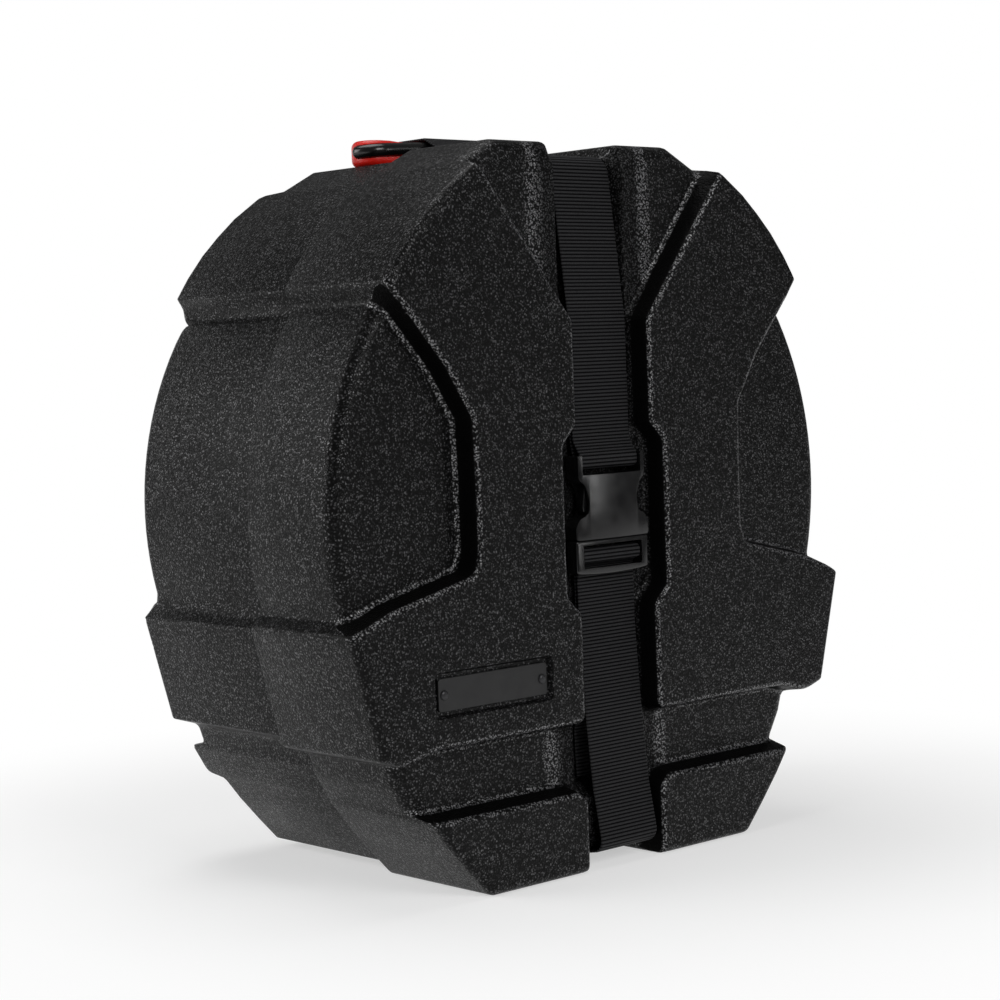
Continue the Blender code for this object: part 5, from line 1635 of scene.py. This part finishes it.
@dataclass
class Handle:
    """The red body with two grips let into it, and its screws and plates inside the base."""

    centre_y: float = HANDLE_Y
    half: float = 13 * MM
    ends: float = 57 * MM
    low: float = 441.3 * MM
    top: float = 458.2 * MM
    grip_radius: float = 4.2 * MM
    grip_track: float = 12.6 * MM
    grip_height: float = 450.59 * MM
    grip_rise: float = 3 * MM
    turn_step: float = math.radians(8.0)
    front_turns: int = 10
    waist: float = 2.4 * MM
    waist_reach: float = 50 * MM

    def grip_line(self, side: int) -> np.ndarray:
        """The centre-line of one grip, bowed up. The front one turns in round the handle's ends.

        Args:
            side: -1 for the front grip, 1 for the rear one.

        Returns:
            The points, from left to right.
        """
        track, quarter = self.grip_track, []
        for step in range(self.front_turns if side < 0 else 0, -1, -1):
            angle = step * self.turn_step
            quarter.append((-self.ends - track * math.sin(angle), side * track * math.cos(angle)))
        span = [(self.ends * (step / 12 - 1), side * track) for step in range(1, 24)]
        flat = quarter + span + [(-x, y) for x, y in reversed(quarter)]
        reach = self.ends + track
        heights = [self.grip_height + self.grip_rise * (1 - (x / reach) ** 2) for x, y in flat]
        return np.array([(x, MID_Y + self.centre_y + y, height) for (x, y), height in zip(flat, heights)])

    def tube(self, side: int, radius: float) -> Mesh:
        """A round rod along a grip's line, with hemispherical tips.

        Args:
            side: -1 for the front grip, 1 for the rear one.
            radius: Radius of the rod.

        Returns:
            The closed mesh.
        """
        line = self.grip_line(side)
        first, last = line[0] - line[1], line[-1] - line[-2]
        first, last = first / np.linalg.norm(first), last / np.linalg.norm(last)
        tips = [math.radians(angle) for angle in (88, 75, 60, 45, 30, 15)]
        rows = [(line[0] + first * radius * math.sin(tip), math.cos(tip)) for tip in tips]
        rows += [(point, 1.0) for point in line]
        rows += [(line[-1] + last * radius * math.sin(tip), math.cos(tip)) for tip in reversed(tips)]
        centres = np.array([point for point, share in rows])
        along = np.gradient(centres, axis=0)
        along /= np.linalg.norm(along, axis=1)[:, None]
        across = np.cross(along, (0.0, 0.0, 1.0))
        across /= np.linalg.norm(across, axis=1)[:, None]
        rise = np.cross(across, along)
        shares = np.array([share for point, share in rows]) * radius
        turns = [math.tau * step / 24 for step in range(24)]
        rings = [centres + (across * math.cos(turn) + rise * math.sin(turn)) * shares[:, None]
                 for turn in turns]
        return swept(np.stack(rings, axis=1))

    def body(self) -> bpy.types.Object:
        """The red body: a rounded bar with a relieved underside and a groove for each grip.

        Returns:
            The finished object.
        """
        loop = []
        for side in (1, -1):
            for step in range(33):
                angle = math.pi * (step / 32 - 0.5 * side)
                loop.append((side * self.ends + self.half * math.cos(angle),
                             self.centre_y + self.half * math.sin(angle)))
        body = finish_mesh("handle_moulding", plan_slab(np.array(loop), self.low, self.top))
        sweep = (self.waist_reach ** 2 + self.waist ** 2) / (2 * self.waist)
        axis_z = self.top - self.waist + sweep
        saddle = level_bar(sweep, 0.0, axis_z, (0.0, 90 * MM), Half.BASE, 384)
        combine(body, [saddle])
        soften(body, 4.5 * MM, 6)
        arch = block((-49 * MM, 49 * MM), (18 * MM, 72 * MM), (430 * MM, self.low + 2.5 * MM), Half.BASE)
        combine(body, [arch])
        combine(body, [self.tube(side, self.grip_radius + GAP) for side in (-1, 1)])
        combine(body, screw_holes(SCREW_PLACES, 438 * MM, 451.6 * MM))
        return body

    def screw(self, name: str, x: float, y: float) -> bpy.types.Object:
        """One pan-head screw, driven up into the body from inside.

        Args:
            name: The piece's name.
            x: Its place across, in millimetres.
            y: Its place from the handle's middle, in millimetres.

        Returns:
            The finished object.
        """
        rows = [(0, -2.5), (2.2, -2.6), (3.4, -2.2), (4.0, -1.5), (4.2, -0.6), (4.2, 0), (2.2, 0),
                (2.2, 14.6), (1.6, 17.6), (0, 17.6)]
        centre = Vector((x * MM, MID_Y + self.centre_y + y * MM, 433.55 * MM))
        return finish_mesh(name, turned(millimetres(*rows), centre, UP))

    def plate(self, name: str, side: int) -> bpy.types.Object:
        """One backing plate under a pair of screw heads.

        Args:
            name: The piece's name.
            side: -1 for the left one, 1 for the right one.

        Returns:
            The finished object.
        """
        near, far = sorted((side * 52.5 * MM, side * 67.5 * MM))
        depths = (self.centre_y - 12 * MM, self.centre_y + 12 * MM)
        plate = finish_mesh(name, block((near, far), depths, (433.7 * MM, 435.7 * MM), Half.BASE))
        soften(plate, 0.5 * MM, 3)
        places = [(x, y) for x, y in SCREW_PLACES if x * side > 0]
        combine(plate, screw_holes(places, 428 * MM, 440 * MM))
        return plate

    def build(self, finishes: Finishes) -> list[bpy.types.Object]:
        """Builds and dresses the handle with its fasteners.

        Args:
            finishes: The case's finishes.

        Returns:
            The finished pieces.
        """
        body = self.body()
        dress(body, finishes.red, "base", "handle_red", "handle_body")
        pieces = [body]
        for word, side in (("front", -1), ("rear", 1)):
            grip = finish_mesh(f"grip_{word}", self.tube(side, self.grip_radius))
            dress(grip, finishes.grip, "base", "grip_black", f"handle_grip_{word}")
            pieces.append(grip)
        for word, side in (("left", -1), ("right", 1)):
            plate = self.plate(f"backing_plate_{word}", side)
            dress(plate, finishes.steel, "base", "steel", f"handle_plate_{word}")
            pieces.append(plate)
            for end, y in (("front", -5), ("rear", 5)):
                screw = self.screw(f"screw_{word}_{end}", side * 60, y)
                dress(screw, finishes.steel, "base", "steel", f"handle_screw_{word}_{end}")
                pieces.append(screw)
        return pieces


@dataclass
class StrapAnchor:
    """The rivets and washers that hold the webbing to the base's rear."""

    reach: float = 14 * MM
    height: float = RIVET_HEIGHT
    washer_depth: float = 87.25 * MM
    rivet_depth: float = 96.55 * MM

    RIVET = ((0, -9.5), (2.4, -9.5), (2.4, 0), (5.6, 0), (5.6, 0.6), (5.2, 1.2), (4.3, 1.75), (3.0, 2.15),
             (1.5, 2.28), (0, 2.3))
    WASHER = ((2.7, 0.1), (2.8, 0), (7.8, 0), (8, 0.2), (8, 1.4), (7.8, 1.6), (2.8, 1.6), (2.7, 1.5),
              (2.7, 0.1))

    def part(self, name: str, rows: tuple[Flat, ...], side: int, depth: float) -> bpy.types.Object:
        """One turned part on one side, with height 0 of its profile at a depth."""
        centre = Vector(place_at(side * self.reach, self.height, depth, Half.BASE))
        return finish_mesh(name, turned(millimetres(*rows), centre, BACKWARDS))

    def build(self, finishes: Finishes) -> list[bpy.types.Object]:
        """Builds and dresses both rivets with their washers.

        Args:
            finishes: The case's finishes.

        Returns:
            The finished pieces.
        """
        pieces = []
        for side, word in ((-1, "left"), (1, "right")):
            rivet = self.part(f"anchor_rivet_{word}", self.RIVET, side, self.rivet_depth)
            dress(rivet, finishes.rivet, "base", "rivet_black", f"strap_rivet_{word}")
            washer = self.part(f"anchor_washer_{word}", self.WASHER, side, self.washer_depth)
            dress(washer, finishes.steel, "base", "steel", f"strap_washer_{word}")
            pieces += [rivet, washer]
        return pieces


@dataclass
class Lining:
    """The foam inside: a pad in each face, and the cradle that the drum rests in."""

    centre_z: float = CENTRE_Z
    pad_radius: float = 172 * MM
    cradle_radius: float = 186 * MM

    def arc(self, radius: float, start: float, sweep: float, steps: int) -> list[Flat]:
        """X and Z of points on a circle about the drum's axis, over a sweep in even steps."""
        angles = [start + sweep * step / steps for step in range(steps + 1)]
        return [(radius * math.cos(angle), self.centre_z + radius * math.sin(angle)) for angle in angles]

    def lid_pad(self) -> Mesh:
        """The lid's pad, cut away above and below for the strap's channel.

        Returns:
            The closed mesh.
        """
        notch = 39.5 * MM
        start = math.acos(notch / self.pad_radius)
        round_side = self.arc(self.pad_radius, -start, 2 * start, 48)
        half = [(notch, 108.17 * MM), *round_side, (notch, 295.91 * MM)]
        loop = np.array(both_sides(half))
        return crowned(loop, 86.7 * MM, 77.9 * MM, 3 * MM, 1.2 * MM, 5 * MM)

    def base_pad(self) -> Mesh:
        """The base's round pad."""
        loop = np.array(self.arc(self.pad_radius, 0.0, math.tau, 120)[:-1])
        return crowned(loop, 88.7 * MM, 80.0 * MM, 3 * MM, 1.2 * MM, 5 * MM, Half.BASE)

    def cradle(self) -> Mesh:
        """The cradle round the drum's lower half.

        Returns:
            The closed mesh.
        """
        top = 299.94 * MM
        wall = round_loop(CaseOutline().keys(), 11.4 * MM)
        low = wall[wall[:, 1] < top]
        outer = np.concatenate((low[low[:, 0] < 0], low[low[:, 0] >= 0]))
        start = math.asin((top - self.centre_z) / self.cradle_radius)
        inner = np.array(self.arc(self.cradle_radius, start, -math.pi - 2 * start, 90))
        loop = np.concatenate((outer, inner))
        return crowned(loop, 77 * MM, -4.3 * MM, 2.6 * MM, 0.6 * MM, 4 * MM, Half.BASE)

    def build(self, finishes: Finishes) -> list[bpy.types.Object]:
        """Builds and dresses the three foam pieces.

        Args:
            finishes: The case's finishes.

        Returns:
            The finished pieces.
        """
        pieces = []
        for name, mesh, body, node in (("foam_lid_pad", self.lid_pad(), "lid", "lid_pad"),
                                       ("foam_base_pad", self.base_pad(), "base", "base_pad"),
                                       ("foam_cradle", self.cradle(), "base", "cradle_liner")):
            piece = finish_mesh(name, mesh, 50.0)
            dress(piece, finishes.foam, body, "foam", node)
            pieces.append(piece)
        return pieces


@dataclass
class Studio:
    """The pale floor, the soft lamps and the camera, which aren't part of the object."""

    azimuth: float = math.radians(-42.3)
    elevation: float = math.radians(3.698)
    roll: float = math.radians(2.079)
    distance: float = 1483.08 * MM
    target: Key = (2.536 * MM, -7.5 * MM, 223.905 * MM)
    lens: float = 81.84
    room: float = 0.14

    # Name, place and size in metres, power in watts.
    LAMPS = (("key_left", (-1.9, 1.0, 1.0), (1.2, 1.4), 22.0),
             ("front", (-0.2, -2.2, 1.3), (1.1, 0.9), 22.0),
             ("strip", (1.4, -2.07, 0.5), (0.18, 1.3), 4.0),
             ("top", (0.0, 0.3, 2.1), (1.4, 1.4), 15.0))

    def camera(self) -> None:
        """Sets the camera at the photograph's viewing angle."""
        sin_a, cos_a = math.sin(self.azimuth), math.cos(self.azimuth)
        sin_e, cos_e = math.sin(self.elevation), math.cos(self.elevation)
        back = Vector((sin_a * cos_e, -cos_a * cos_e, sin_e))
        right = Vector((cos_a, sin_a, 0.0))
        up = back.cross(right)
        across = right * math.cos(self.roll) - up * math.sin(self.roll)
        rise = right * math.sin(self.roll) + up * math.cos(self.roll)
        data = bpy.data.cameras.new("camera")
        data.lens = self.lens
        data.sensor_width = 36.0
        data.clip_end = 60.0
        camera = bpy.data.objects.new("camera", data)
        turn = Matrix((across, rise, back)).transposed().to_4x4()
        camera.matrix_world = Matrix.Translation(Vector(self.target) + back * self.distance) @ turn
        bpy.context.scene.collection.objects.link(camera)
        bpy.context.scene.camera = camera

    def lamp(self, name: str, place: Vector, size: Flat, power: float) -> None:
        """Adds one soft area lamp that looks at the case.

        Args:
            name: Its name.
            place: Where its middle stands.
            size: Its width and height.
            power: Its power in watts.
        """
        data = bpy.data.lights.new(name, "AREA")
        data.shape = "RECTANGLE"
        data.size, data.size_y = size
        data.energy = power
        lamp = bpy.data.objects.new(name, data)
        aim = Vector(self.target) - place
        lamp.matrix_world = Matrix.Translation(place) @ aim.to_track_quat("-Z", "Y").to_matrix().to_4x4()
        bpy.context.scene.collection.objects.link(lamp)

    def floor(self) -> None:
        """Lays a pale sweep that shows white to the camera and keeps the case's shadow.

        For reflections it fades from 0.7 to 1.1 m in front of the case, where the dim room begins.
        """
        mesh = bmesh.new()
        bmesh.ops.create_grid(mesh, x_segments=2, y_segments=2, size=12.0,
                              matrix=Matrix.Translation((0.0, 0.0, -0.2 * MM)))
        floor = finish_mesh("studio_floor", mesh)
        graph = Graph(bpy.data.materials.new("painted_studio_floor"))
        rays = graph.add("LightPath")
        seen = graph.add("Math", LARGER, i0=rays.outputs["Is Camera Ray"],
                         i1=rays.outputs["Is Glossy Ray"])
        paint = graph.add("BsdfDiffuse", Color=linear("#c8c8c8"))
        lift = graph.add("Math", TIMES, i0=seen.outputs[0], i1=0.5)
        glow = graph.add("Emission", Strength=lift.outputs[0])
        both = graph.add("AddShader", i0=paint.outputs[0], i1=glow.outputs[0])
        way = graph.add("SeparateXYZ", Vector=graph.add("TexCoord").outputs["Object"])
        before = graph.add("MapRange", SMOOTH, Value=way.outputs["Y"],
                           From_Min=-0.7, From_Max=-1.1)
        hidden = graph.add("Math", TIMES, i0=rays.outputs["Is Glossy Ray"],
                           i1=before.outputs[0])
        dim = graph.add("Emission", Strength=self.room * 0.4)
        reflected = graph.add("MixShader", i0=hidden.outputs[0], i1=both.outputs[0], i2=dim.outputs[0])
        away = graph.add("VectorMath", {"operation": "LENGTH"},
                         i0=graph.add("TexCoord").outputs["Object"])
        far = graph.add("MapRange", SMOOTH, Value=away.outputs["Value"],
                        From_Min=0.25, From_Max=0.6)
        plain = graph.add("Math", TIMES, i0=rays.outputs["Is Camera Ray"],
                          i1=far.outputs[0])
        white = graph.add("Emission", Strength=1.0)
        floor.data.materials.append(graph.surface(graph.add(
            "MixShader", i0=plain.outputs[0], i1=reflected.outputs[0], i2=white.outputs[0])))

    def world(self) -> None:
        """A white surround for the camera and reflections, and a soft even light for the rest."""
        world = bpy.data.worlds.new("surround")
        bpy.context.scene.world = world
        graph = Graph(world)
        rays = graph.add("LightPath")
        way = graph.add("SeparateXYZ", Vector=graph.add("TexCoord").outputs["Generated"])
        behind = graph.add("MapRange", SMOOTH, Value=way.outputs["Y"],
                           From_Min=0.84, From_Max=0.99)
        mirrored = graph.add("Math", TIMES, i0=rays.outputs["Is Glossy Ray"],
                             i1=behind.outputs[0])
        seen = graph.add("Math", LARGER, i0=rays.outputs["Is Camera Ray"],
                         i1=rays.outputs["Is Transmission Ray"])
        white = graph.add("Math", LARGER, i0=seen.outputs[0], i1=mirrored.outputs[0])
        level = graph.add("MapRange", Value=white.outputs[0], To_Min=self.room, To_Max=1.0)
        graph.surface(graph.add("Background", Color=(1.0, 1.0, 1.0, 1.0), Strength=level.outputs[0]))

    def build(self) -> None:
        """Sets up the whole studio."""
        bpy.context.scene.view_settings.view_transform = "Standard"
        self.camera()
        self.floor()
        self.world()
        for name, place, size, power in self.LAMPS:
            self.lamp(name, Vector(place), size, power)


def main() -> None:
    """Builds the studio and the case, and reports each piece."""
    logging.basicConfig(level=logging.INFO, format="%(message)s")
    report = logging.getLogger("drum_case")
    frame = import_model()
    Studio().build()
    finishes = Finishes()
    for maker in (Lid(), Base(), Strap(), Buckle(), Badge(), Handle(), StrapAnchor(), Lining()):
        made = maker.build(finishes)
        for piece in made if isinstance(made, list) else [made]:
            report.info("%s: %d faces", piece.name, len(piece.data.polygons))


if __name__ == "__main__":
    main()
